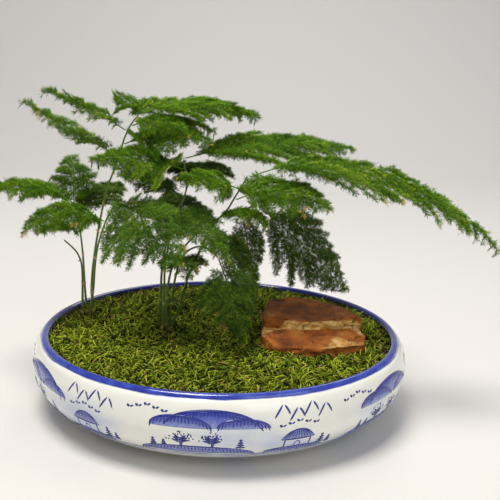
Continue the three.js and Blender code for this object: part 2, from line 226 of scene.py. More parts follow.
@dataclass(frozen=True)
class Grown(Finish):
    """Plant matter or brush ink: each strand or stroke has a shade, which shifts from root to tip."""

    root: dict[float, str] = field(default_factory=dict)
    tip: dict[float, str] = field(default_factory=dict)

    def dress(self, tree: Tree, shader: bpy.types.Node) -> None:
        """Colours by the mesh's own shade and along values.

        Args:
            tree: the material's node tree.
            shader: its main shader node.
        """
        shade = add_node(tree, "ShaderNodeAttribute", attribute_name="shade").outputs["Fac"]
        along = add_node(tree, "ShaderNodeAttribute", attribute_name="along").outputs["Fac"]
        colour = mixed(tree, along, ramp(tree, shade, self.root), ramp(tree, shade, self.tip))
        tree.links.new(colour, shader.inputs["Base Color"])


@dataclass(frozen=True)
class Glaze(Finish):
    """White feldspar glaze over porcelain, with a cobalt lip brushed on before glazing."""

    lip_height: float = 53.1
    inner_radius: float = 130.0

    def dress(self, tree: Tree, shader: bpy.types.Node) -> None:
        """Makes the body a warm white with pale blue washes and painted shade on the lower belly, and the lip
        cobalt with a wavering edge.

        Args:
            tree: the material's node tree.
            shader: its main shader node.
        """
        place = add_node(tree, "ShaderNodeTexCoord").outputs["Object"]
        parts = add_node(tree, "ShaderNodeSeparateXYZ", {0: place}).outputs
        cloud = noise_of(tree, 60, 4, (1, 1, 2.2))
        wash = between(tree, cloud, 0.47, 0.66)
        # Painted shade: the blue-grey is kept to the lower belly and grows towards the foot, partly as washes
        # in the glaze and partly as the shade under the belly.
        low = between(tree, parts["Z"], 46 * MM, 28 * MM)
        wash_and_shade = add_node(tree, "ShaderNodeMath", {0: wash, 1: low}, operation="MULTIPLY").outputs[0]
        body = mixed(tree, wash_and_shade, linear("#e9eae2"), linear("#b9c4dd"))
        # The brush leaves the lip's lower edge uneven by about half a millimetre.
        waver = between(tree, noise_of(tree, 20), 0.3, 0.7)
        inputs = {0: waver, 1: -0.5 * MM, 2: parts["Z"]}
        edge = add_node(tree, "ShaderNodeMath", inputs, operation="MULTIPLY_ADD").outputs[0]
        lip = between(tree, edge, (self.lip_height - 0.55) * MM, (self.lip_height - 0.1) * MM)
        flatten = add_node(tree, "ShaderNodeVectorMath", {0: place, 1: (1, 1, 0)}, operation="MULTIPLY")
        plan = flatten.outputs[0]
        radius = add_node(tree, "ShaderNodeVectorMath", {0: plan}, operation="LENGTH").outputs["Value"]
        inside = between(tree, radius, (self.inner_radius + 1.2) * MM, (self.inner_radius - 1.8) * MM)
        thin = between(tree, noise_of(tree, 9, 5), 0.35, 0.75)
        cobalt = mixed(tree, thin, linear("#1f3199"), linear("#3c55bd"))
        cobalt = mixed(tree, inside, cobalt, linear("#15176f"))
        tree.links.new(mixed(tree, lip, body, cobalt), shader.inputs["Base Color"])
        # Glaze flows as it melts, and sets in very shallow waves that bend a highlight.
        self.relief(tree, shader, noise_of(tree, 22, 2), 0.12)


@dataclass(frozen=True)
class Ironstone(Finish):
    """Split ironstone: rust-orange weathered faces, with pale ochre where a layer has broken off."""

    def dress(self, tree: Tree, shader: bpy.types.Node) -> None:
        """Lays rust clouds over ochre, then dark specks and stains, then painted shade in the cracks and on
        the slab's top, and a grain that catches the light.

        Args:
            tree: the material's node tree.
            shader: its main shader node.
        """
        fresh = add_node(tree, "ShaderNodeAttribute", attribute_name="fresh").outputs["Fac"]
        crack = add_node(tree, "ShaderNodeAttribute", attribute_name="crack").outputs["Fac"]
        rust = ramp(
            tree,
            noise_of(tree, 16, 6),
            {0.3: "#623512", 0.44: "#8d4d1a", 0.56: "#a35e22", 0.72: "#b57c38"},
        )
        bands = noise_of(tree, 5, 5, (1, 1, 2.5))
        ochre = ramp(tree, bands, {0.3: "#a06a2c", 0.5: "#cfa45a", 0.7: "#e2c88a"})
        face = mixed(tree, between(tree, fresh, 0.35, 0.65), rust, ochre)
        # Real grains are a fraction of a millimetre. Specks and grain are over 1 mm, so that they show.
        speck = between(tree, noise_of(tree, 1.6, 2), 0.63, 0.72)
        face = mixed(tree, speck, face, linear("#4a2a12"))
        stain = between(tree, noise_of(tree, 11, 4), 0.6, 0.78)
        face = mixed(tree, stain, face, linear("#5d3a1c"))
        # Painted shade: the crack value turns the cracks near black and darkens the slab's top.
        tree.links.new(mixed(tree, crack, face, linear("#23160c")), shader.inputs["Base Color"])
        self.relief(tree, shader, noise_of(tree, 1.1, 5), 0.5)


@dataclass(frozen=True)
class PottingMix(Finish):
    """Damp peat and bark: almost black, with brown flecks."""

    def dress(self, tree: Tree, shader: bpy.types.Node) -> None:
        """Lays brown crumbs over dark peat.

        Args:
            tree: the material's node tree.
            shader: its main shader node.
        """
        crumbs = noise_of(tree, 1.8, 4)
        colour = ramp(tree, crumbs, {0.35: "#120b06", 0.52: "#2b1b10", 0.7: "#5a3d24"})
        tree.links.new(colour, shader.inputs["Base Color"])
        self.relief(tree, shader, crumbs, 1.2)


# Fired at over 1200 degrees, so its skin is true glass: a sharp, bright highlight over a soft white.
PORCELAIN = Glaze("glazed porcelain", roughness=0.12, ior=1.52, coat=0.5)
# Cobalt oxide under the glaze: the same glassy skin, blue from a pale wash to nearly black where it pools.
COBALT = Grown(
    "cobalt brushwork under glaze",
    roughness=0.12,
    ior=1.52,
    coat=0.5,
    root={0.0: "#d5d9e4", 0.3: "#8f9dcb", 0.6: "#4455ad", 0.85: "#26359a", 1.0: "#141e74"},
    tip={0.0: "#dfe2e8", 0.3: "#a3aed4", 0.6: "#4c5fb8", 0.85: "#2636a4", 1.0: "#18237e"},
)
# Sheet moss: matt shoots, bright yellow-green at their tips and darker towards their roots. The brown-black
# down in the mat is painted shade between the shoots.
MOSS = Grown(
    "sheet moss",
    roughness=0.6,
    ior=1.4,
    specular=0.15,
    root={0.0: "#121604", 0.25: "#2c360a", 0.6: "#566614", 0.85: "#7e901e", 1.0: "#6a5230"},
    tip={0.0: "#222a08", 0.25: "#566812", 0.6: "#a0b626", 0.85: "#d4e048", 1.0: "#b8985a"},
)
# The fern's needle leaves are waxy and thin, and tan where a tip has died. Their fresh yellow-green is
# painted light, brightened to stand for light that shines through them.
LIT_LEAF = Grown(
    "asparagus fern needles",
    roughness=0.6,
    ior=1.4,
    specular=0.2,
    root={0.0: "#294607", 0.35: "#41670c", 0.65: "#5e8915", 0.86: "#89ad26", 0.93: "#b8b83a", 1.0: "#b78a48"},
    tip={0.0: "#3b5d0a", 0.35: "#568211", 0.65: "#77a31f", 0.86: "#a2c737", 0.93: "#d6cc56", 1.0: "#dcb476"},
)
# Young needles still have their bloom, which makes them a cooler and duller green.
BLUE_LEAF = Grown(
    "young asparagus fern needles with bloom",
    roughness=0.65,
    ior=1.4,
    specular=0.2,
    root={0.0: "#2c4614", 0.35: "#436618", 0.65: "#5b8222", 0.86: "#84a834", 0.93: "#a8ae42", 1.0: "#b78a48"},
    tip={0.0: "#3d5c1a", 0.35: "#578022", 0.65: "#729c30", 0.86: "#9cc044", 0.93: "#c8c056", 1.0: "#dcb476"},
)
# Painted shade: the same needles, for fronds low down or at the back, in a darker and duller green.
SHADED_LEAF = Grown(
    "shaded asparagus fern needles",
    roughness=0.65,
    ior=1.4,
    specular=0.2,
    root={0.0: "#243a0c", 0.35: "#385414", 0.65: "#4c6c1a", 0.86: "#6c8a2a", 0.93: "#8f8a32", 1.0: "#9c763c"},
    tip={0.0: "#304a12", 0.35: "#48681a", 0.65: "#608224", 0.86: "#86a436", 0.93: "#aca044", 1.0: "#bc945a"},
)
# The canes are wiry and smooth: green, with papery tan joints, and woody brown at the foot.
CANE_SKIN = Grown(
    "asparagus fern cane",
    roughness=0.4,
    ior=1.45,
    root={0.0: "#4c4a1c", 0.4: "#75602c", 0.75: "#a8834a", 1.0: "#a06a3c"},
    tip={0.0: "#46661f", 0.4: "#6f8a34", 0.75: "#c2b26e", 1.0: "#cbb079"},
)
# The crown is dry flaking bark: brown-black in its clefts and straw-coloured on the stubs.
CROWN_SKIN = Grown(
    "woody root crown",
    roughness=0.8,
    root={0.0: "#1e130a", 0.5: "#4a3018", 1.0: "#7c5a34"},
    tip={0.0: "#2a1a0e", 0.5: "#6b4726", 1.0: "#a9834e"},
)
# Bark and peat crumbs that have worked up between the moss and the lip.
CRUMB_SKIN = Grown(
    "bark crumbs",
    roughness=0.9,
    root={0.0: "#1a1009", 0.5: "#3a2414", 1.0: "#7a5430"},
    tip={0.0: "#22160c", 0.5: "#4c311c", 1.0: "#93693f"},
)
# Moist crumbs drink the light, so the mix shows almost black, without any gloss.
SOIL = PottingMix("damp potting mix", roughness=0.95)
# Ironstone splits along its beds: dull rust on the old faces, and paler, sandier ochre on the fresh ones.
STONE = Ironstone("split ironstone", roughness=0.8, specular=0.25)


# ---------- meshes ----------


def unit(vectors: Array) -> Array:
    """Scales each vector, along the last axis, to a length of 1."""
    return vectors / np.maximum(np.linalg.norm(vectors, axis=-1, keepdims=True), 1e-9)


@dataclass
class Skin:
    """Triangles in millimetres, with a shade and a place along for each point, that become one mesh."""

    points: list[Array] = field(default_factory=list)
    triangles: list[Array] = field(default_factory=list)
    shades: list[Array] = field(default_factory=list)
    alongs: list[Array] = field(default_factory=list)
    offsets: list[Array] = field(default_factory=list)
    count: int = 0

    def add(self, points: Array, triangles: Array, shade: Array, along: Array, offset: Array) -> None:
        """Adds a closed stretch of triangles.

        Args:
            points: one row of x, y and z for each point.
            triangles: one row of three point numbers for each triangle.
            shade: each point's shade, from 0 to 1.
            along: each point's place from root to tip, from 0 to 1.
            offset: how far each point is moved aside in the map of shades, to give every face there a width.
        """
        self.points.append(points)
        self.triangles.append(triangles + self.count)
        self.shades.append(shade)
        self.alongs.append(along)
        self.offsets.append(offset)
        self.count += len(points)

    def strands(
        self, paths: Array, radii: Array, sides: int, shade: Array, along: Array | None = None
    ) -> None:
        """Adds closed tapered tubes that are drawn to a point at both ends.

        Args:
            paths: the stations of each tube, as tubes by stations by 3.
            radii: the radius at each station, as stations, or as tubes by stations.
            sides: how many sides a tube has.
            shade: each tube's shade, or tubes by stations.
            along: each station's place from root to tip, if it isn't even.
        """
        count, stations, _ = paths.shape
        if not count:
            return
        radii = np.broadcast_to(radii, (count, stations))
        shade = np.broadcast_to(shade.reshape(count, -1), (count, stations))
        along = np.linspace(0, 1, stations) if along is None else along
        heading = unit(np.gradient(paths, axis=1))
        slack = np.argmin(np.abs(heading.mean(axis=1)), axis=1)
        across = unit(np.cross(heading, np.eye(3)[slack][:, None, :]))
        over = np.cross(heading, across)
        turn = np.arange(sides) / sides * 2 * np.pi
        ring = np.cos(turn)[:, None] * across[:, 1:-1, None] + np.sin(turn)[:, None] * over[:, 1:-1, None]
        ring = paths[:, 1:-1, None] + ring * radii[:, 1:-1, None, None]
        each = np.concatenate([paths[:, :1], ring.reshape(count, -1, 3), paths[:, -1:]], axis=1)
        own = tube_triangles(stations - 2, sides)
        triangles = own[None] + (np.arange(count) * each.shape[1])[:, None, None]
        aside = np.concatenate([[0.5], np.tile(np.arange(sides) / sides, stations - 2), [0.5]])
        self.add(
            each.reshape(-1, 3),
            triangles.reshape(-1, 3),
            per_corner(shade, sides),
            per_corner(np.broadcast_to(along, (count, stations)), sides),
            np.tile(aside, count),
        )

    def piece(
        self, name: str, finish: Finish, slot: str, *nodes: str, attributes: dict[str, Array] | None = None
    ) -> bpy.types.Object:
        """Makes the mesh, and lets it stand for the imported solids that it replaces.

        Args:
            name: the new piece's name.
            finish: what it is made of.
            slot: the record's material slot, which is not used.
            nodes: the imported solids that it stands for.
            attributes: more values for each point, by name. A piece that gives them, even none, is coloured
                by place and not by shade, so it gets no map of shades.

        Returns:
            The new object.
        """
        points, triangles = np.concatenate(self.points), np.concatenate(self.triangles)
        shade, along = np.concatenate(self.shades), np.concatenate(self.alongs)
        corners = triangles.ravel()
        mesh = bpy.data.meshes.new(name)
        mesh.vertices.add(len(points))
        mesh.vertices.foreach_set("co", (points * MM).astype(np.float32).ravel())
        mesh.loops.add(len(corners))
        mesh.loops.foreach_set("vertex_index", corners.astype(np.int32))
        mesh.polygons.add(len(triangles))
        mesh.polygons.foreach_set("loop_start", np.arange(0, len(corners), 3, dtype=np.int32))
        mesh.update(calc_edges=True)
        mesh.shade_smooth()
        for key, values in {"shade": shade, "along": along, **(attributes or {})}.items():
            mesh.attributes.new(key, "FLOAT", "POINT").data.foreach_set("value", values.astype(np.float32))
        if attributes is None:
            # One shade of this map holds one colour, so faces that share a shade may lie over each other.
            across = 0.01 + 0.96 * shade + 0.015 * np.concatenate(self.offsets)
            places = np.stack([across, 0.02 + 0.96 * along], axis=1)[corners].astype(np.float32)
            mesh.uv_layers.new(name=BAKE_MAP).data.foreach_set("uv", places.ravel())
        mesh.materials.append(finish.material())
        made = bpy.data.objects.new(name, mesh)
        bpy.context.scene.collection.objects.link(made)
        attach(made, "root")
        if nodes:
            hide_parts(*nodes)
        LOG.info("%s: %d triangles", name, len(triangles))
        return made


def per_corner(rows: Array, sides: int) -> Array:
    """Repeats each station's value round its ring, but not at the two pointed ends."""
    rings = np.repeat(rows[:, 1:-1], sides, axis=1)
    return np.concatenate([rows[:, :1], rings, rows[:, -1:]], axis=1).ravel()


def tube_triangles(rings: int, sides: int) -> Array:
    """Joins one tube: its first end, its rings, and its last end.

    Args:
        rings: how many rings it has between its two ends.
        sides: how many points a ring has.

    Returns:
        One row of three point numbers for each triangle, facing outwards.
    """
    found = []
    last = 1 + rings * sides
    for i in range(sides):
        j = (i + 1) % sides
        found.append((0, 1 + i, 1 + j))
        for ring in range(rings - 1):
            low = 1 + ring * sides
            high = low + sides
            found += [(low + i, high + j, low + j), (low + i, high + i, high + j)]
        found.append((last, last - sides + j, last - sides + i))
    return np.array(found)


def smooth_path(points: Array, count: int) -> Array:
    """Even stations on a smooth curve through points.

    Args:
        points: the points in order, one row each.
        count: how many stations to give.

    Returns:
        The stations, one row each.
    """
    ends = np.concatenate([[2 * points[0] - points[1]], points, [2 * points[-1] - points[-2]]])
    share = np.linspace(0, 1, 8, endpoint=False)[:, None]
    parts = []
    for a, b, c, d in zip(ends, ends[1:], ends[2:], ends[3:]):
        bend = 2 * a - 5 * b + 4 * c - d
        twist = 3 * b - a - 3 * c + d
        parts.append(b + 0.5 * share * (c - a + share * (bend + share * twist)))
    fine = np.concatenate([*parts, points[-1:]])
    reach = np.concatenate([[0], np.cumsum(np.linalg.norm(np.diff(fine, axis=0), axis=1))])
    wanted = np.linspace(0, reach[-1], count)
    return np.stack([np.interp(wanted, reach, fine[:, k]) for k in range(3)], axis=1)


@dataclass
class Lofted:
    """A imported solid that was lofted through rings, read back as its rings in order."""

    node: bpy.types.Object

    def __post_init__(self) -> None:
        """Merges the solid's corners and finds which lie next to which."""
        mesh = self.node.data
        raw = np.empty(len(mesh.vertices) * 3, np.float32)
        mesh.vertices.foreach_get("co", raw)
        places = np.round(raw.reshape(-1, 3) / MM, 3)
        self.points, same = np.unique(places, axis=0, return_inverse=True)
        same = same.ravel()
        self.near: list[set[int]] = [set() for _ in self.points]
        for face in mesh.polygons:
            for i in face.vertices:
                self.near[same[i]].update(int(same[j]) for j in face.vertices)

    def rings(self, first: list[int]) -> list[Array]:
        """Finds the corners in layers that spread from the first ones.

        Args:
            first: the numbers of the corners in the first layer.

        Returns:
            The layers, each with one row for each corner.
        """
        seen, layer, found = set(first), list(first), []
        while layer:
            found.append(self.points[layer])
            layer = sorted(set().union(*(self.near[i] for i in layer)) - seen)
            seen.update(layer)
        return found

    def foot(self) -> list[int]:
        """The corners at the solid's lowest height."""
        heights = self.points[:, 2]
        return [int(i) for i in np.flatnonzero(heights < heights.min() + 0.05)]

    def apexes(self) -> list[int]:
        """Finds the two pointed ends, which have the most corners next to them and lie farthest apart.

        Returns:
            Their numbers.
        """
        most = sorted(range(len(self.points)), key=lambda i: -len(self.near[i]))[:6]
        pairs = [(i, j) for i in most for j in most if i < j]
        return list(max(pairs, key=lambda pair: np.linalg.norm(self.points[pair[0]] - self.points[pair[1]])))


def remeshed(node: bpy.types.Object, pitch: float) -> tuple[Array, Array, Array]:
    """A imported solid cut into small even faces.

    Args:
        node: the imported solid's object.
        pitch: the faces' breadth.

    Returns:
        The points, the triangles, and each point's outward direction.
    """
    twin = bpy.data.objects.new("twin", node.data.copy())
    bpy.context.scene.collection.objects.link(twin)
    grid = twin.modifiers.new("even", "REMESH")
    grid.mode = "VOXEL"
    grid.voxel_size = pitch * MM
    mesh = twin.evaluated_get(bpy.context.evaluated_depsgraph_get()).to_mesh()
    mesh.calc_loop_triangles()
    points = np.empty(len(mesh.vertices) * 3, np.float32)
    mesh.vertices.foreach_get("co", points)
    normals = np.empty(len(mesh.vertices) * 3, np.float32)
    mesh.vertex_normals.foreach_get("vector", normals)
    triangles = np.empty(len(mesh.loop_triangles) * 3, np.int32)
    mesh.loop_triangles.foreach_get("vertices", triangles)
    bpy.data.objects.remove(twin)
    return points.reshape(-1, 3) / MM, triangles.reshape(-1, 3), normals.reshape(-1, 3)


def lumps(points: Array, size: float, seed: float = 0.0) -> Array:
    """Smooth noise from about -1 to 1 at each point, with lumps about size across."""
    return np.array([noise.noise(Vector(p) / size + Vector((seed, seed, seed))) for p in points])


# ---------- the bowl ----------


@dataclass
class Bowl:
    """The shallow round bowl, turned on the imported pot's profile, with its height and breadth."""

    height: float = field(init=False)
    belly_radius: float = field(init=False)
    foot_radius: float = 104.0
    foot_height: float = 3.0
    belly_height: float = 35.0
    belly_fullness: float = 1.25
    lip_radius: float = 133.0
    wall: float = 6.0
    floor: float = 8.0
    facets: int = 360

    def __post_init__(self) -> None:
        """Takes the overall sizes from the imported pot."""
        low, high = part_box("pot")
        self.height, self.belly_radius = (high.z - low.z) / MM, high.x / MM
        self.outside = np.array(self.side(0, self.foot_height))

    def side(self, inset: float, bottom: float) -> Points:
        """The side's outline.

        Args:
            inset: how far in it is moved, for the inside.
            bottom: the height that it starts at.

        Returns:
            Its radii and heights, from the bottom to the start of the lip.
        """
        points = []
        shoulder = self.height - self.wall / 2
        for turn in np.linspace(0, math.pi / 2, 30):
            swell = (self.belly_radius - self.foot_radius) * math.sin(turn) ** self.belly_fullness
            rise = (self.belly_height - bottom) * (1 - math.cos(turn))
            points.append((self.foot_radius - inset + swell, bottom + rise))
        for turn in np.linspace(0, math.pi / 2, 15)[1:]:
            swell = (self.belly_radius - self.lip_radius) * math.cos(turn)
            rise = (shoulder - self.belly_height) * math.sin(turn)
            points.append((self.lip_radius - inset + swell, self.belly_height + rise))
        return points

    def profile(self) -> Points:
        """Draws the whole outline, from the axis under the foot, over the lip and back to the axis inside.

        Returns:
            Its radii and heights.
        """
        half = self.wall / 2
        turns = np.linspace(0, math.pi, 17)[1:-1]
        ring, crest = self.lip_radius - half, self.height - half
        lip = [(ring + half * math.cos(t), crest + half * math.sin(t)) for t in turns]
        # The unglazed foot ring is ground flat, and its edge is eased.
        foot = [(0, 0), (60, 0), (98, 0), (102, 0), (103, 0.4), (103.7, 1.2), (self.foot_radius, 2.1)]
        inside = self.side(self.wall, self.floor)[::-1]
        return [*foot, *self.side(0, self.foot_height), *lip, *inside, (60, self.floor), (0, self.floor)]

    def on_side(self, around: Array, height: Array, proud: Array | float) -> Array:
        """Points on the bowl's outer side.

        Args:
            around: the distance round the belly from the front, to the right as one faces it.
            height: the height above the table.
            proud: how far the point stands off the glaze.

        Returns:
            One row of x, y and z for each point.
        """
        radii, heights = self.outside.T
        rise, run = np.gradient(heights), np.gradient(radii)
        out = np.interp(height, heights, rise / np.hypot(rise, run))
        down = np.interp(height, heights, -run / np.hypot(rise, run))
        turn = around / self.belly_radius - math.pi / 2
        radius = np.interp(height, heights, radii) + proud * out
        return np.stack([radius * np.cos(turn), radius * np.sin(turn), height + proud * down], axis=-1)

    def build(self) -> bpy.types.Object:
        """Turns the bowl on a fine wheel and glazes it.

        Returns:
            The new piece.
        """
        outline = np.array(self.profile())
        skin = Skin()
        turn = np.arange(self.facets) / self.facets * 2 * np.pi
        ring = outline[1:-1]
        points = np.stack(
            [
                ring[:, :1] * np.cos(turn),
                ring[:, :1] * np.sin(turn),
                np.broadcast_to(ring[:, 1:], (len(ring), self.facets)),
            ],
            axis=-1,
        ).reshape(-1, 3)
        ends = np.array([[0, 0, outline[0, 1]], [0, 0, outline[-1, 1]]])
        points = np.concatenate([ends[:1], points, ends[1:]])
        nothing = np.zeros(len(points))
        triangles = tube_triangles(len(ring), self.facets)[:, ::-1]
        skin.add(points, triangles, nothing, nothing, nothing)
        return skin.piece("bowl", PORCELAIN, "porcelain", "pot", attributes={})


class Brush(Enum):
    """How broad a brush stroke is in the middle, and how dark its ink is.

    A real fine line is about half a millimetre broad, and these are up to twice that, so that they show.
    """

    LINE = (1.15, 0.95)
    FINE = (0.8, 0.85)
    HATCH = (0.85, 0.95)
    BROAD = (2.0, 1.0)
    PALE = (0.6, 0.45)


@dataclass
class Landscape:
    """A plain country scene in blue, repeated round the bowl: hills, peaks, a gabled hut, trees and birds.

    It is drawn flat, with its middle at 0, to the right and up in millimetres, and then wrapped round the
    belly. Its strokes are ribbons that stand a little prouder of the glaze than real ink, so that they show.
    """

    bowl: Bowl
    repeats: int = 6
    stroke_edge: float = 0.06
    stroke_crest: float = 0.13
    wash_stand: float = 0.03
    wash_sink: float = 0.05
    wash_rows: int = 7
    birds: int = 5
    bird_spacing: float = 5.8
    band_arcs: int = 24
    skin: Skin = field(default_factory=Skin)
    rng: np.random.Generator = field(default_factory=lambda: np.random.default_rng(11))

    # Each hill's middle, half breadth, foot and height, from the farthest to the nearest.
    hills: ClassVar[list[Hill]] = [(-4, 30, 36.5, 11), (-24, 20, 36, 7.5), (16, 17, 36, 6)]
    banks: ClassVar[list[Hill]] = [(-14, 38, 16.6, 6), (52, 22, 16.6, 3)]
    # Where the leading bird of each skein is, and where the hut stands.
    skeins: ClassVar[Points] = [(-46, 48), (52, 39)]
    hut_place: ClassVar[tuple[float, float]] = (52, 19)
    # Where each tree stands, the height of its foot, and for a pine its size.
    broadleaves: ClassVar[Points] = [(-24, 22), (-4, 22)]
    pines: ClassVar[list[tuple[float, float, float]]] = [
        (-42, 19.5, 0.9),
        (-35, 20.5, 0.7),
        (14, 20.5, 1.0),
        (70, 17.5, 1.1),
        (76, 17, 0.8),
    ]

    @staticmethod
    def arch(middle: float, half: float, foot: float, height: float) -> Points:
        """Draws a hill's crest, a round arch that is a little steeper on its left.

        Args:
            middle: where its middle is in the flat scene.
            half: half its breadth.
            foot: the height of its ends.
            height: how far its top is over them.

        Returns:
            The crest's points, from left to right.
        """
        turns = np.linspace(0, math.pi, 9)
        return [(middle - half * math.cos(t) - 1.5 * math.sin(t), foot + height * math.sin(t)) for t in turns]

    def stroke(self, points: Points, brush: Brush, around: float, swell: float = 1.0) -> None:
        """Paints one stroke as a low rounded ribbon that is drawn to a point at both ends.

        Args:
            points: the stroke in the flat scene.
            brush: its breadth and ink.
            around: where the scene's middle lies round the bowl.
            swell: times its usual breadth.
        """
        flat = np.array([(x, z, 0.0) for x, z in points])
        length = np.linalg.norm(np.diff(flat, axis=0), axis=1).sum()
        path = smooth_path(flat, max(5, int(length / 1.2)))[:, :2]
        width, ink = brush.value
        share = np.linspace(0, 1, len(path))
        half = width * swell / 2 * np.clip(3.2 * np.minimum(share + 0.12, 1 - share + 0.06), 0.2, 1)
        ahead = unit(np.gradient(path, axis=0))
        aside = np.stack([-ahead[:, 1], ahead[:, 0]], axis=1) * half[:, None]
        # A stroke stands clear of the washes that it crosses.
        rows = [
            (path + aside, self.stroke_edge),
            (path, self.stroke_crest),
            (path - aside, self.stroke_edge),
        ]
        wrapped = [self.bowl.on_side(around + p[:, 0], p[:, 1], proud) for p, proud in rows]
        ring = np.stack(wrapped, axis=1)[1:-1].reshape(-1, 3)
        ends = self.bowl.on_side(around + path[[0, -1], 0], path[[0, -1], 1], 0.0)
        points3 = np.concatenate([ends[:1], ring, ends[1:]])
        inks = np.clip(ink + self.rng.normal(0, 0.06, len(points3)), 0, 1)
        along = np.concatenate([[0], np.repeat(share[1:-1], 3), [1]])
        offset = np.concatenate([[0.5], np.tile([0, 0.5, 1.0], len(path) - 2), [0.5]])
        self.skin.add(points3, tube_triangles(len(path) - 2, 3), inks, along, offset)

    def wash(
        self, crest: Points, base: float, around: float, proud: float, inks: tuple[float, float]
    ) -> None:
        """Fills the land between a crest line and a level base with ink that thins towards the base.

        Args:
            crest: the land's upper edge in the flat scene.
            base: the height of its lower edge.
            around: where the scene's middle lies round the bowl.
            proud: how far the wash stands off the glaze.
            inks: how dark it is at the base and at the crest.
        """
        line = np.array(crest, float)
        x = np.arange(line[0, 0], line[-1, 0] + 0.01, 1.0)
        top = np.maximum(np.interp(x, *line.T), base + 0.15)
        share = np.linspace(0, 1, self.wash_rows)[:, None]
        height = base + (top - base) * share
        flat = np.broadcast_to(x, height.shape)
        front = self.bowl.on_side(around + flat, height, proud).reshape(-1, 3)
        back = self.bowl.on_side(around + flat, height, -self.wash_sink).reshape(-1, 3)
        columns, total = len(x), self.wash_rows * len(x)
        number = np.arange(total).reshape(self.wash_rows, columns)
        a, b, c, d = number[:-1, :-1], number[:-1, 1:], number[1:, 1:], number[1:, :-1]
        faces = np.concatenate([np.stack(t, -1).reshape(-1, 3) for t in ((a, b, c), (a, c, d))])
        rim = np.concatenate([number[0], number[1:, -1], number[-1, -2::-1], number[-2:0:-1, 0]])
        after = np.roll(rim, -1)
        panes = ((rim, rim + total, after + total), (rim, after + total, after))
        walls = np.concatenate([np.stack(pane, -1) for pane in panes])
        shade = inks[0] + (inks[1] - inks[0]) * share**1.5 + self.rng.normal(0, 0.03, height.shape)
        shade = np.clip(np.tile(shade.ravel(), 2), 0, 1)
        along = np.tile(np.broadcast_to(share, height.shape).ravel(), 2)
        offset = np.tile(np.broadcast_to(np.arange(columns) % 2, height.shape).ravel(), 2).astype(float)
        triangles = np.concatenate([faces, faces[:, ::-1] + total, walls])
        self.skin.add(np.concatenate([front, back]), triangles, shade, along, offset)

    def hatching(self, crest: Points, around: float, length: float, spacing: float, lean: float) -> None:
        """Draws short strokes down from a crest line, which fan out from its middle.

        Args:
            crest: the line in the flat scene.
            around: where the scene's middle lies round the bowl.
            length: about how long a stroke is.
            spacing: how far apart they are.
            lean: how far a stroke leans for each millimetre that it is off the middle.
        """
        line = np.array(crest, float)
        middle = line[:, 0].mean()
        for x in np.arange(line[0, 0] + 2, line[-1, 0] - 1, spacing):
            top = float(np.interp(x, *line.T)) - 0.5
            reach = length * self.rng.uniform(0.75, 1.1)
            slant = lean * (x - middle)
            line_down = [(x, top), (x + slant / 2, top - reach / 2), (x + slant, top - reach)]
            self.stroke(line_down, Brush.HATCH, around)

    def uplands(self, around: float) -> None:
        """Paints the washed hills, one in front of the other, and the bare peaks beside them.

        Args:
            around: where the scene's middle lies round the bowl.
        """
        for step, hill in enumerate(self.hills):
            crest = self.arch(*hill)
            # Each nearer wash lies over the one behind.
            self.wash(crest, hill[2], around, self.wash_stand + 0.008 * step, (0.4, 0.92))
            self.stroke(crest, Brush.LINE, around, 1.2)
            self.hatching(crest, around, 4.2, 2.1, 0.12)
        for k in range(4):
            x, top = 41 + 10 * k, 50 - 2.4 * (k % 2)
            left = [(x - 6, top - 8.5), (x - 3, top - 4), (x, top)]
            right = [(x + 0.8, top - 0.4), (x + 3, top - 3.5), (x + 4.6, top - 7)]
            for slope in (left, right):
                self.stroke(slope, Brush.LINE, around, 1.15)

    def skein(self, around: float, middle: float, height: float) -> None:
        """Paints a skein of birds that fly in a wedge.

        Args:
            around: where the scene's middle lies round the bowl.
            middle: where the leading bird, the middle one, is in the flat scene.
            height: how high it flies.
        """
        for k in range(self.birds):
            place = k - (self.birds - 1) / 2
            x, z = middle + self.bird_spacing * place, height - 1.3 * abs(place)
            self.stroke([(x - 2.2, z + 0.8), (x - 0.4, z - 0.4), (x, z - 0.5)], Brush.BROAD, around, 0.8)
            self.stroke([(x, z - 0.5), (x + 1.2, z), (x + 2.5, z + 0.7)], Brush.LINE, around)

    def hut(self, around: float, middle: float, foot: float) -> None:
        """Paints a gabled hut with a thatched roof, two walls and a door.

        Args:
            around: where the scene's middle lies round the bowl.
            middle: where the hut's middle is in the flat scene.
            foot: the height of its floor.
        """
        eaves, ridge = foot + 7.5, foot + 14.0
        shape = [(-12, eaves), (-6, ridge - 1.4), (0, ridge), (6, ridge - 1.4), (12, eaves)]
        roof = [(middle + x, z) for x, z in shape]
        self.wash(roof, eaves - 0.4, around, 0.035, (0.42, 0.6))
        self.stroke(roof, Brush.LINE, around)
        eave = [(middle - 12.5, eaves - 0.2), (middle, eaves - 0.6), (middle + 12.5, eaves - 0.2)]
        self.stroke(eave, Brush.LINE, around)
        for k in range(-4, 5):
            straw = [(middle + 1.1 * k, ridge - 0.2 * abs(k)), (middle + 2.4 * k, eaves)]
            self.stroke(straw, Brush.HATCH, around, 0.9)
        for side in (-9, 9):
            self.stroke([(middle + side, eaves), (middle + side, foot)], Brush.LINE, around)
        door = [(-2, 0), (-1.8, 4), (0, 5), (1.8, 4), (2, 0)]
        self.stroke([(middle + x, foot + z) for x, z in door], Brush.FINE, around)

    def pine(self, around: float, x: float, foot: float, size: float) -> None:
        """Paints a pine of four tiers.

        Args:
            around: where the scene's middle lies round the bowl.
            x: where it stands in the flat scene.
            foot: the height of its lowest tier.
            size: its size, where 1 is a pine of usual size.
        """
        for k in range(4):
            half = (3.6 - 0.8 * k) * size
            z = foot + (1.5 + 1.9 * k) * size
            self.stroke([(x - half, z), (x, z + 0.6), (x + half, z)], Brush.LINE, around, 1.3)
        self.stroke([(x, foot), (x, foot + 9.5 * size)], Brush.LINE, around)

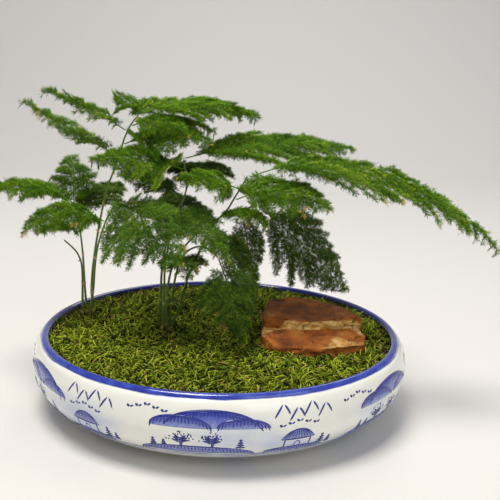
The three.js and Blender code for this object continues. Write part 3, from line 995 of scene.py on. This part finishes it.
    def broadleaf(self, around: float, x: float, foot: float) -> None:
        """Paints a round-headed tree: a trunk, three limbs on each side, and leaves dabbed round them.

        Args:
            around: where the scene's middle lies round the bowl.
            x: where it stands in the flat scene.
            foot: the height of its trunk's foot.
        """
        self.stroke([(x, foot), (x + 0.5, foot + 4), (x, foot + 8)], Brush.LINE, around, 1.7)
        for side in (-1, 1):
            for k in range(3):
                z = foot + 3 + 1.7 * k
                limb = [(x, z), (x + side * 2.5, z + 1.6), (x + side * (6 - k), z + 2.6)]
                self.stroke(limb, Brush.LINE, around, 1.3)
        for _ in range(24):
            turn, reach = self.rng.uniform(0, math.pi), self.rng.uniform(0.55, 1.0)
            at, z = x + 9 * reach * math.cos(turn), foot + 5 + 6.5 * reach * math.sin(turn)
            self.stroke([(at - 0.5, z), (at, z + 0.15), (at + 0.5, z)], Brush.BROAD, around, 0.62)

    def lowlands(self, around: float) -> None:
        """Paints the banks in front, with the hut and the trees that stand on them.

        Args:
            around: where the scene's middle lies round the bowl.
        """
        for bank in self.banks:
            crest = self.arch(*bank)
            self.wash(crest, bank[2], around, self.wash_stand, (0.45, 0.5))
            self.stroke(crest, Brush.LINE, around)
            self.hatching(crest, around, 3.6, 2.2, 0.07)
        self.hut(around, *self.hut_place)
        for tree in self.broadleaves:
            self.broadleaf(around, *tree)
        for tree in self.pines:
            self.pine(around, *tree)

    def flocks(self, around: float) -> None:
        """Paints a skein of birds on each side of the hills.

        Args:
            around: where the scene's middle lies round the bowl.
        """
        for middle, height in self.skeins:
            self.skein(around, middle, height)

    def bands(self) -> None:
        """Draws the fine lines round the foot."""
        for height, brush in ((15.4, Brush.FINE), (13.6, Brush.PALE)):
            arc = 2 * math.pi * self.bowl.belly_radius / self.band_arcs
            for k in range(self.band_arcs):
                self.stroke([((k + t) * arc, height) for t in (-0.08, 0.3, 0.7, 1.08)], brush, 0.0)

    def build(self) -> bpy.types.Object:
        """Paints every scene round the bowl.

        Returns:
            The new piece.
        """
        for k in range(self.repeats):
            around = k / self.repeats * 2 * math.pi * self.bowl.belly_radius
            for paint in (self.uplands, self.flocks, self.lowlands):
                paint(around)
        self.bands()
        return self.skin.piece("painted_landscape", COBALT, "porcelain")


# ---------- what fills the bowl ----------


@dataclass
class Turf:
    """One patch of sheet moss: a lumpy mat, painted dark as the shade between the shoots, with curled shoots
    standing in it.
    """

    node: str
    seed: int
    shoots_per_area: float = 0.3
    sink: float = 1.6
    stations: int = 7

    def mat(self, skin: Skin) -> None:
        """Adds the mat, sunk under the shoots and painted dark as the shade between them.

        Args:
            skin: what the mat is added to.
        """
        points, triangles, normals = remeshed(bpy.data.objects[self.node], 2.2)
        bump = 0.9 * lumps(points, 7, self.seed) + 0.7 * lumps(points, 2.6, self.seed)
        points[:, 2] += np.where(normals[:, 2] > 0.5, bump - self.sink, 0)
        # Painted shade: the mat takes only the darkest shades, darker still in its hollows.
        shade = np.clip(0.12 + 0.1 * bump, 0.01, 0.3)
        along = np.clip(0.2 + 0.2 * lumps(points, 3.5, 5.0), 0, 1)
        skin.add(points, triangles, shade, along, points[:, 0] % 1)

    def roots(self, rng: np.random.Generator) -> Array:
        """Spreads the shoots' feet over the patch's top.

        Args:
            rng: the source of chance.

        Returns:
            One row of x, y and z for each shoot.
        """
        node = bpy.data.objects[self.node]
        corners = [v.co for v in node.data.vertices]
        solid = BVHTree.FromPolygons(corners, [tuple(p.vertices) for p in node.data.polygons])
        low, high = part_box(self.node)
        area = (high.x - low.x) * (high.y - low.y) / MM**2
        found = []
        for _ in range(int(area * self.shoots_per_area)):
            x, y = rng.uniform(low.x, high.x), rng.uniform(low.y, high.y)
            hit, normal, _, _ = solid.ray_cast(Vector((x, y, high.z + 0.01)), Vector((0, 0, -1)))
            if hit and normal.z > 0.5:
                found.append(hit / MM)
        return np.array(found)

    def build(self) -> bpy.types.Object:
        """Grows the patch.

        Returns:
            The new piece.
        """
        rng = np.random.default_rng(self.seed)
        skin = Skin()
        self.mat(skin)
        roots = self.roots(rng)
        count = len(roots)
        length = rng.uniform(4.5, 9.0, count)
        heading = rng.uniform(0, 2 * np.pi, count)
        lean = rng.uniform(0.1, 1.0, count)
        curl = rng.uniform(0.3, 2.4, count)
        sway = rng.normal(0, 0.9, count)
        at = roots - [0, 0, self.sink]
        path = [at]
        for k in range(1, self.stations):
            share = k / (self.stations - 1)
            tilt = lean + curl * share
            turn = heading + sway * share
            step = np.stack([np.sin(tilt) * np.cos(turn), np.sin(tilt) * np.sin(turn), np.cos(tilt)], axis=1)
            at = at + step * (length / (self.stations - 1))[:, None]
            path.append(at)
        taper = np.array([0.5, 1.0, 1.05, 1.0, 0.85, 0.6, 0.0])
        thick = rng.uniform(0.34, 0.62, count)
        patchy = lumps(roots, 24, self.seed) * 0.16
        shade = np.clip(rng.normal(0.5, 0.25, count) + patchy, 0.04, 0.9)
        shade = np.where(rng.random(count) < 0.035, 1.0, shade)
        skin.strands(np.stack(path, axis=1), thick[:, None] * taper, 3, shade)
        return skin.piece(f"{self.node}_turf", MOSS, "moss", self.node)


@dataclass
class Litter:
    """Crumbs of bark and peat along the lip and in the bare seams."""

    inner_radius: float
    mat_height: float = 7.8
    count: int = 420
    seed: int = 5

    def build(self) -> bpy.types.Object:
        """Scatters the crumbs.

        Returns:
            The new piece.
        """
        rng = np.random.default_rng(self.seed)
        low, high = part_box("soil")
        top = high.z / MM
        seats = []
        turn = rng.uniform(0, 2 * np.pi, self.count)
        clumped = lumps(np.stack([np.cos(turn), np.sin(turn), 0 * turn], axis=1), 0.25, 3.0)
        for angle, clump in zip(turn, clumped):
            if clump > -0.05:
                radius = self.inner_radius - rng.uniform(0.8, 5.5)
                height = top + self.mat_height + rng.uniform(-1.0, 1.6)
                seats.append((radius * math.cos(angle), radius * math.sin(angle), height))
        at = np.array(seats)
        way = unit(rng.normal(size=(len(at), 3)) * [1, 1, 0.4])
        size = rng.uniform(0.5, 1.5, len(at))
        share = np.array([-1, -0.7, 0, 0.7, 1])
        path = at[:, None] + way[:, None] * (share[:, None] * size[:, None, None])
        radii = size[:, None] * np.array([0, 0.6, 0.8, 0.55, 0]) * rng.uniform(0.6, 1.0, (len(at), 1))
        skin = Skin()
        skin.strands(path, radii, 5, rng.uniform(0, 1, len(at)))
        return skin.piece("bark_crumbs", CRUMB_SKIN, "soil")


@dataclass
class Slab:
    """The split stone, with thin layers that show along its broken edges."""

    pitch: float = 0.85
    layer: float = 2.4

    def build(self) -> bpy.types.Object:
        """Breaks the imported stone's outline into layers, ledges and cracks.

        Returns:
            The new piece.
        """
        points, triangles, normals = remeshed(bpy.data.objects["stone"], self.pitch)
        low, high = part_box("stone")
        foot, top = low.z / MM, high.z / MM
        side = np.clip(1.3 - 1.5 * np.abs(normals[:, 2]), 0, 1)
        level = np.floor((points[:, 2] + 0.8 * lumps(points, 22, 9.0)) / self.layer)
        flat = points * [1, 1, 0] + np.stack([0 * level, 0 * level, level * 9.7], axis=1)
        outwards = unit(normals * [1, 1, 0.05])
        jut = 1.7 * lumps(flat, 13) + 0.9 * lumps(flat, 4.5, 2.0) + 1.3 * lumps(points * [1, 1, 0.2], 30, 4.0)
        points += outwards * (side * jut)[:, None]
        lift = 1.9 * lumps(points, 26, 7.0) + 0.7 * lumps(points, 7, 1.0) + 0.3 * lumps(points, 2, 3.0)
        points[:, 2] += np.where(normals[:, 2] > -0.3, (1 - side) * lift, 0)
        fault = np.abs(lumps(points * [1, 1.6, 1.2], 24, 6.0) + 0.25 * lumps(points, 6, 8.0))
        crack = np.clip(1 - fault / 0.035, 0, 1) * (points[:, 2] > foot + 4)
        points -= normals * (1.4 * crack)[:, None]
        # The layer that broke away last left pale patches on the riser and on the step in front of it.
        step = foot + 0.62 * (top - foot)
        riser = side * np.clip((points[:, 2] - step) / 2, 0, 1) * np.clip(0.6 - normals[:, 1], 0, 1)
        scar = (1 - side) * np.clip(0.45 + 1.8 * lumps(points, 17, 11.0), 0, 1) * (points[:, 2] < step + 4)
        fresh = np.clip(riser * (0.55 + 1.5 * lumps(points, 12, 5.0)) + 0.6 * scar, 0, 1)
        # The slab rises towards its back.
        back = np.clip((points[:, 1] - low.y / MM - 30) / 50, 0, 1)
        points[:, 2] += (1 - side) * np.where(points[:, 2] > step + 2, 3.0 * back - 1.5, 0)
        points[:, 2] = np.clip(points[:, 2], foot, top + 2.5)
        # Painted shade: the slab's top is darkened, most towards the back, as the shade that the fronds cast
        # on it.
        painted_top_shade = (1 - side) * np.clip((points[:, 2] - step - 2) / 2, 0, 1) * (0.18 + 0.4 * back)
        # The crack value is painted shade: near black in the sunken cracks, and darker on the slab's top.
        dark = np.maximum(crack * 0.9, painted_top_shade * np.clip(1 + lumps(points, 14, 3.0), 0, 1.4))
        nothing = np.zeros(len(points))
        skin = Skin()
        skin.add(points, triangles, nothing, nothing, nothing)
        return skin.piece("split_stone", STONE, "stone", "stone", attributes={"fresh": fresh, "crack": dark})


@dataclass
class Crown:
    """A woody root crown at a clump's foot, with the stubs of old canes."""

    clump: str
    seed: int
    stubs: int = 16

    def build(self) -> bpy.types.Object:
        """Builds the knob and its stubs.

        Returns:
            The new piece.
        """
        rng = np.random.default_rng(self.seed)
        node = f"root_crown_{self.clump}"
        points, triangles, normals = remeshed(bpy.data.objects[node], 0.9)
        rough = 0.5 * lumps(points, 3.0, 1.0) + 0.3 * lumps(points, 1.2, 2.0)
        points += normals * rough[:, None]
        skin = Skin()
        shade = np.clip(0.4 + 0.5 * rough, 0.02, 1)
        skin.add(points, triangles, shade, np.clip(0.5 + 0.5 * lumps(points, 2.2), 0, 1), points[:, 0] % 1)
        low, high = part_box(node)
        middle = np.array([(low.x + high.x) / 2, (low.y + high.y) / 2, high.z]) / MM
        turn = rng.uniform(0, 2 * np.pi, self.stubs)
        out = rng.uniform(1.0, 7.5, self.stubs)
        seat = middle + np.stack([out * np.cos(turn), out * np.sin(turn), -1.5 + 0 * turn], axis=1)
        way = np.stack([0.35 * np.cos(turn), 0.35 * np.sin(turn), 1 + 0 * turn], axis=1)
        reach = rng.uniform(2.5, 9.0, self.stubs)[:, None, None]
        path = seat[:, None] + way[:, None] * (np.linspace(0, 1, 6)[:, None] * reach)
        skin.strands(path, np.array([0, 1.1, 0.95, 0.8, 0.5, 0]), 5, rng.uniform(0.4, 1.0, self.stubs))
        return skin.piece(f"{node}_wood", CROWN_SKIN, "root", node)


# ---------- the plant ----------


@dataclass
class Cane:
    """One wiry cane, with joints a few centimetres apart and a papery spur at each."""

    node: str
    seed: int
    foot_radius: float = 1.05
    tip_radius: float = 0.55
    joint_spacing: float = 23.0

    def __post_init__(self) -> None:
        """Reads the cane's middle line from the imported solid."""
        lofted = Lofted(bpy.data.objects[self.node])
        middles = [ring.mean(axis=0) for ring in lofted.rings(lofted.foot())]
        self.line = smooth_path(np.array(middles), 90)

    def build(self) -> bpy.types.Object:
        """Draws the cane, its joints and its spurs.

        Returns:
            The new piece.
        """
        rng = np.random.default_rng(self.seed)
        line = self.line.copy()
        line[0] -= [0, 0, 3]
        reach = np.concatenate([[0], np.cumsum(np.linalg.norm(np.diff(line, axis=0), axis=1))])
        share = reach / reach[-1]
        joints = np.arange(rng.uniform(7, 12), reach[-1] - 5, self.joint_spacing)
        joints += rng.uniform(-3, 3, len(joints))
        knot = np.exp(-(((reach[:, None] - joints) / 1.1) ** 2)).max(axis=1) if len(joints) else 0 * reach
        radii = self.foot_radius + (self.tip_radius - self.foot_radius) * share + 0.18 * knot
        radii[-3:] *= [0.9, 0.7, 0]
        shade = np.clip(0.05 + 0.25 * rng.random() + 0.62 * knot, 0, 1)
        along = np.clip(reach / 26, 0, 1) ** 0.8
        skin = Skin()
        skin.strands(line[None], radii[None], 8, shade[None], along)
        for joint in joints:
            at = np.array([np.interp(joint, reach, line[:, k]) for k in range(3)])
            ahead = np.array([np.interp(joint + 1, reach, line[:, k]) for k in range(3)]) - at
            out = unit(np.cross(ahead, rng.normal(size=3)))
            tip = at + 2.4 * out + 1.6 * unit(ahead)
            path = at + (tip - at) * np.linspace(0, 1, 5)[:, None] + out * [[0], [0.35], [0.4], [0.2], [0]]
            skin.strands(path[None], np.array([0, 0.55, 0.4, 0.2, 0]), 4, np.array([0.9]), np.ones(5))
        return skin.piece(f"{self.node}_stem", CANE_SKIN, "cane", self.node)


@dataclass
class Twig:
    """A flat line that bears needles. Its last dead millimetres are dry and tan."""

    line: Array
    tone: float
    dead: float
    stem: bool = False


@dataclass
class Frond:
    """One flat spray: a thin axis bears side branches, these bear branchlets, and each has whorls of needles.

    It is drawn flat, ahead along the axis and to the side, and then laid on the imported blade. A real needle
    is about 0.2 mm thick. These are nearly twice that, and fewer, so that they show.
    """

    node: str
    canes: list[Cane]
    finish: Grown
    seed: int
    branchlet_spacing: float = 1.4
    needle: float = 4.0
    needle_radius: float = 0.18
    needles_per_area: float = 4.8
    most_needles: int = 29000

    def __post_init__(self) -> None:
        """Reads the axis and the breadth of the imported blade."""
        lofted = Lofted(bpy.data.objects[self.node])
        lines = np.concatenate([cane.line for cane in self.canes])
        ends = sorted(lofted.apexes(), key=lambda i: np.linalg.norm(lines - lofted.points[i], axis=1).min())
        rings = lofted.rings([ends[0]])
        start, tip = rings[0][0], rings[-1][0]
        flat = unit(np.cross(tip - start, UP))
        middles, lefts, rights = [start], [start], [start]
        for ring in rings[1:-1]:
            side = (ring - start) @ flat
            spine = ring[np.argsort(np.abs(side))[:2]]
            middles.append(spine.mean(axis=0))
            lefts.append(ring[self.farthest(ring, middles[-1], -flat)])
            rights.append(ring[self.farthest(ring, middles[-1], flat)])
        middles.append(tip)
        middles = np.array(middles)
        reach = np.concatenate([[0], np.cumsum(np.linalg.norm(np.diff(middles, axis=0), axis=1))])
        self.length = float(reach[-1])
        self.reach = reach
        # The axis starts inside its cane.
        nearest = lines[np.linalg.norm(lines - start, axis=1).argmin()]
        self.hold = nearest - start
        degree = min(3, len(reach) - 1)
        self.bend = [np.polyfit(reach, middles[:, k], degree) for k in range(3)]
        lefts, rights = np.array([*lefts, tip]), np.array([*rights, tip])
        self.breadth = {
            -1: np.linalg.norm(lefts - middles, axis=1),
            1: np.linalg.norm(rights - middles, axis=1),
        }
        self.across = {-1: self.sideways(lefts - middles), 1: self.sideways(rights - middles)}

    @staticmethod
    def farthest(ring: Array, middle: Array, way: Array) -> int:
        """The corner of a ring that is farthest from its middle on one side."""
        away = ring - middle
        return int(np.argmax(np.where(away @ way > -0.2, np.linalg.norm(away, axis=1), 0)))

    @staticmethod
    def sideways(away: Array) -> Array:
        """Finds which way an edge lies from the axis.

        Args:
            away: from the axis to the edge, at each ring.

        Returns:
            A unit direction for each ring, where the ends copy their neighbours.
        """
        ways = unit(away)
        ways[0], ways[-1] = ways[1], ways[-2]
        return ways

    def lay(self, flat: Array) -> Array:
        """Lays flat points on the blade.

        Args:
            flat: how far along the axis, to the side and above the blade, on the last axis.

        Returns:
            The points in space.
        """
        ahead, aside, above = flat[..., 0], flat[..., 1], flat[..., 2]
        at = np.clip(ahead, 0, self.length)
        axis = np.stack([np.polyval(fit, at) for fit in self.bend], axis=-1)
        beyond = np.stack([np.polyval(np.polyder(fit), at) for fit in self.bend], axis=-1)
        heading = unit(beyond)
        sides = {
            side: np.stack([np.interp(at, self.reach, ways[:, k]) for k in range(3)], axis=-1)
            for side, ways in self.across.items()
        }
        way = np.where(aside[..., None] < 0, sides[-1], sides[1])
        normal = unit(np.cross(sides[1] - sides[-1], heading))
        along = heading * (ahead - at)[..., None]
        return axis + along + way * np.abs(aside)[..., None] + normal * above[..., None]

    def branch(self, start: float, side: int, rng: np.random.Generator) -> Array:
        """Draws one side branch, which swings forward until it meets the blade's edge.

        Args:
            start: how far along the axis it leaves.
            side: 1 for the left side and -1 for the right.
            rng: the source of chance.

        Returns:
            Its flat path, with a point for each millimetre.
        """
        forward = math.atan2(float(self.breadth[side].max()), 0.42 * self.length)
        forward = min(max(forward, math.radians(27)), math.radians(62)) + math.radians(rng.uniform(-4, 4))
        angle = forward + math.radians(rng.uniform(14, 24))
        stretch = rng.uniform(0.72, 1.1)
        points = [np.array([start, 0.0, 0.0])]
        rise, droop = rng.uniform(-1.0, 3.4), rng.uniform(-1.0, 5.0)
        step = 1.0
        for k in range(1, 90):
            turn = forward + (angle - forward) * math.exp(-k / 14)
            last = points[-1]
            ahead = last[0] + step * math.cos(turn)
            aside = last[1] + side * step * math.sin(turn)
            room = float(np.interp(ahead, self.reach, self.breadth[side])) * stretch
            if k > 3 and (abs(aside) > room or ahead > self.length * 1.01):
                break
            points.append(np.array([ahead, aside, 0.0]))
        line = np.array(points)
        # A branch rises a little from the axis, and its tip nods.
        share = np.linspace(0, 1, len(line))
        line[:, 2] = rise * np.sin(share * math.pi) - droop * share**3
        return line

    def grow(self, rng: np.random.Generator) -> list[Twig]:
        """Draws the flat lines that bear needles: the side branches, their branchlets and the axis.

        Args:
            rng: the source of chance.

        Returns:
            The lines.
        """
        broadest = max(float(self.breadth[s].max()) for s in (-1, 1))
        # A broad frond bears fewer and bigger branches, whose tips give it its jagged edge.
        pitch = 1.6 + 0.062 * broadest
        twigs = []
        side = 1
        for start in np.arange(0.08 * self.length, self.length - 1.5, pitch):
            side = -side
            line = self.branch(start + rng.uniform(-0.3, 0.3) * pitch, side, rng)
            if len(line) < 4:
                continue
            reach = len(line) - 1
            tone = 0.46 + rng.normal(0, 0.11)
            dead = rng.uniform(1.0, 3.0) if rng.random() < 0.07 else 0.0
            twigs.append(Twig(line, tone, dead, stem=True))
            turn_side = 1
            for along in np.arange(0.8, reach, self.branchlet_spacing):
                turn_side = -turn_side
                at = np.array([np.interp(along, np.arange(reach + 1), line[:, k]) for k in range(3)])
                ahead = line[min(int(along) + 1, reach)] - line[int(along)]
                swing = turn_side * math.radians(rng.uniform(34, 58))
                c, s = math.cos(swing), math.sin(swing)
                swung = (c * ahead[0] - s * ahead[1], s * ahead[0] + c * ahead[1])
                way = np.array([*swung, rng.uniform(-0.3, 0.5)])
                size = 2.0 * pitch * (0.14 + 0.86 * (1 - along / reach) ** 0.8)
                size = min(size, 1.2 + 0.35 * reach) * rng.uniform(0.75, 1.15)
                twig = at + unit(way) * np.linspace(0, size, 4)[:, None]
                twig[:, 2] -= 0.014 * np.linspace(0, size, 4) ** 2
                rust = 1.2 if rng.random() < 0.006 else 0.0
                withered = max(rust, dead if along > reach - 3 else 0.0)
                twigs.append(Twig(twig, tone + rng.normal(0.02, 0.07), withered))
        end = np.stack([np.linspace(0.1 * self.length, self.length, 40)] + [np.zeros(40)] * 2, axis=1)
        twigs.append(Twig(end, 0.5, 1.0))
        return twigs

    def needles(self, twig: Twig, spacing: float, rng: np.random.Generator) -> tuple[Array, Array, Array]:
        """Sets whorls of needles along one line.

        Args:
            twig: the line.
            spacing: the length of line for each needle.
            rng: the source of chance.

        Returns:
            The needles' feet and tips on the flat frond, and their shades.
        """
        line = twig.line
        reach = np.concatenate([[0], np.cumsum(np.linalg.norm(np.diff(line, axis=0), axis=1))])
        at = rng.uniform(0, reach[-1], max(3, int(reach[-1] / spacing)))
        foot = np.stack([np.interp(at, reach, line[:, k]) for k in range(3)], axis=1)
        heading = unit(np.gradient(line, axis=0))
        ahead = np.stack([np.interp(at, reach, heading[:, k]) for k in range(3)], axis=1)
        across = np.cross(ahead, UP)
        fan, lift = rng.normal(0, 0.8, len(at)), rng.normal(0.12, 0.5, len(at))
        way = unit(ahead * np.cos(fan)[:, None] + across * np.sin(fan)[:, None] + UP * lift[:, None])
        tip = foot + way * (self.needle * rng.uniform(0.65, 1.12, len(at)))[:, None]
        shade = np.clip(twig.tone + rng.normal(0, 0.13, len(at)), 0, 0.9)
        return foot, tip, np.where(at > reach[-1] - twig.dead, rng.uniform(0.93, 1.0, len(at)), shade)

    def build(self) -> bpy.types.Object:
        """Grows the spray.

        Returns:
            The new piece.
        """
        rng = np.random.default_rng(self.seed)
        twigs = self.grow(rng)
        area = float(np.trapz(self.breadth[-1] + self.breadth[1], self.reach))
        total = sum(float(np.linalg.norm(np.diff(twig.line, axis=0), axis=1).sum()) for twig in twigs)
        spacing = total / min(self.needles_per_area * area, self.most_needles)
        parts = [self.needles(twig, spacing, rng) for twig in twigs]
        foot, tip, shade = (np.concatenate(rows) for rows in zip(*parts))
        bow = (foot + tip) / 2 + [0, 0, 0.15]
        skin = Skin()
        leaves = np.stack([self.lay(foot), self.lay(bow), self.lay(tip)], axis=1)
        skin.strands(leaves, np.array([0, self.needle_radius, 0]), 3, shade)
        stems = [twig for twig in twigs if twig.stem]
        paths = np.stack([smooth_path(self.lay(twig.line), 8) for twig in stems])
        taper = np.array([0, 0.27, 0.25, 0.22, 0.19, 0.16, 0.13, 0])
        skin.strands(paths, taper, 3, np.full(len(stems), 0.55))
        axis = self.lay(np.stack([np.linspace(0, self.length, 26)] + [np.zeros(26)] * 2, axis=1))
        axis = np.concatenate([[axis[0] + self.hold], axis])
        girth = np.linspace(0.5, 0.16, 27)
        girth[-1] = girth[0] = 0
        skin.strands(axis[None], girth, 5, np.array([0.6]))
        return skin.piece(f"{self.node}_spray", self.finish, "frond", self.node)


# ---------- the studio ----------


@dataclass
class Studio:
    """A pale sweep, three soft boxes and the camera, in metres."""

    eye: tuple[float, float, float] = (0.0, -0.646, 0.2696)
    aim: tuple[float, float, float] = (0.0202, 0.0, 0.1164)
    roll_degrees: float = 1.74
    lens: float = 64.4
    floor_half: float = 3.0

    def sweep(self) -> None:
        """Builds the floor, which curves up into a backdrop behind."""
        bend = [(-3.0, 0.0), (1.1, 0.0)]
        turns = np.linspace(0.1, math.pi / 2, 14)
        bend += [(1.1 + 0.9 * math.sin(t), 0.9 - 0.9 * math.cos(t)) for t in turns]
        bend += [(2.0, 3.0)]
        vertices = [(x, y, z - 0.0004) for y, z in bend for x in (-self.floor_half, self.floor_half)]
        faces = [(2 * i, 2 * i + 1, 2 * i + 3, 2 * i + 2) for i in range(len(bend) - 1)]
        mesh = bpy.data.meshes.new("sweep")
        mesh.from_pydata(vertices, [], faces)
        mesh.shade_smooth()
        paper = bpy.data.materials.new("matt backdrop paper")
        paper.use_nodes = True
        shader = paper.node_tree.nodes["Principled BSDF"]
        shader.inputs["Base Color"].default_value = linear("#dedcda")
        shader.inputs["Roughness"].default_value = 0.65
        mesh.materials.append(paper)
        floor = bpy.data.objects.new("sweep", mesh)
        bpy.context.scene.collection.objects.link(floor)

    def box(self, name: str, place: tuple[float, float, float], size: float, watts: float, tint: str) -> None:
        """Hangs one soft box that faces the bowl.

        Args:
            name: the lamp's name.
            place: where it hangs.
            size: how far across it is.
            watts: its power.
            tint: its sRGB hex colour.
        """
        lamp = bpy.data.lights.new(name, "AREA")
        lamp.size = size
        lamp.energy = watts
        lamp.color = linear(tint)[:3]
        hung = bpy.data.objects.new(name, lamp)
        hung.location = place
        hung.rotation_euler = (Vector((0, 0, 0.1)) - Vector(place)).to_track_quat("-Z", "Y").to_euler()
        bpy.context.scene.collection.objects.link(hung)

    def build(self) -> None:
        """Sets up the sweep, the lights and the camera."""
        self.sweep()
        self.box("key", (-0.3, -0.3, 1.6), 0.7, 24.0, "#fffaf0")
        self.box("fill", (0.9, -1.3, 0.8), 1.2, 7.0, "#fbfaf6")
        self.box("back", (0.3, 1.2, 1.5), 1.0, 8.0, "#ffffff")
        world = bpy.data.worlds.new("studio air")
        world.use_nodes = True
        air = world.node_tree.nodes["Background"]
        air.inputs["Color"].default_value = linear("#eef0f4")
        air.inputs["Strength"].default_value = 0.36
        bpy.context.scene.world = world
        camera = bpy.data.objects.new("camera", bpy.data.cameras.new("camera"))
        camera.data.lens = self.lens
        camera.data.sensor_width = 36.0
        camera.data.clip_start = 0.01
        turn = (Vector(self.aim) - Vector(self.eye)).to_track_quat("-Z", "Y").to_matrix().to_4x4()
        roll = Matrix.Rotation(math.radians(self.roll_degrees), 4, "Z")
        camera.matrix_world = Matrix.Translation(self.eye) @ turn @ roll
        bpy.context.scene.collection.objects.link(camera)
        bpy.context.scene.camera = camera
        bpy.context.scene.view_settings.view_transform = "Standard"


# The fronds that hang low or stand behind, out of the light, whose needles are painted in shade.
SHADED = {
    "frond_weeping_right",
    "frond_weeping_inner",
    "frond_back_low",
    "frond_back_middle",
    "frond_inner_small",
    "frond_back_left",
    "frond_weeping_front",
    "frond_inner_right",
    "frond_inner_left",
}
# The youngest fronds.
BLUISH = {"frond_front_left", "frond_front_middle"}


def leaf_for(node: str) -> Grown:
    """Picks a frond's finish by its age, and by its place in the light, which sets painted light or painted
    shade.

    Args:
        node: the frond's name.

    Returns:
        The finish of its needles.
    """
    if node in BLUISH:
        return BLUE_LEAF
    return SHADED_LEAF if node in SHADED else LIT_LEAF


def main() -> None:
    """Builds the bowl, what fills it and the plant, one piece at a time."""
    logging.basicConfig(level=logging.INFO, format="%(name)s: %(message)s")
    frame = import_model()
    nodes = sorted(frame["nodes"])
    bowl = Bowl()
    bowl.build()
    Landscape(bowl).build()
    frame["nodes"]["soil"].data.materials.clear()
    frame["nodes"]["soil"].data.materials.append(SOIL.material())
    Slab().build()
    for seed, node in enumerate(n for n in nodes if n.startswith("moss_")):
        Turf(node, seed + 20).build()
    Litter(bowl.lip_radius - bowl.wall).build()
    for seed, clump in enumerate(("left", "middle")):
        Crown(clump, seed + 40).build()
    canes = [Cane(node, seed + 60) for seed, node in enumerate(n for n in nodes if n.startswith("cane_"))]
    for cane in canes:
        cane.build()
    for seed, node in enumerate(n for n in nodes if n.startswith("frond_")):
        Frond(node, canes, leaf_for(node), seed + 100).build()
    Studio().build()


if __name__ == "__main__":
    main()
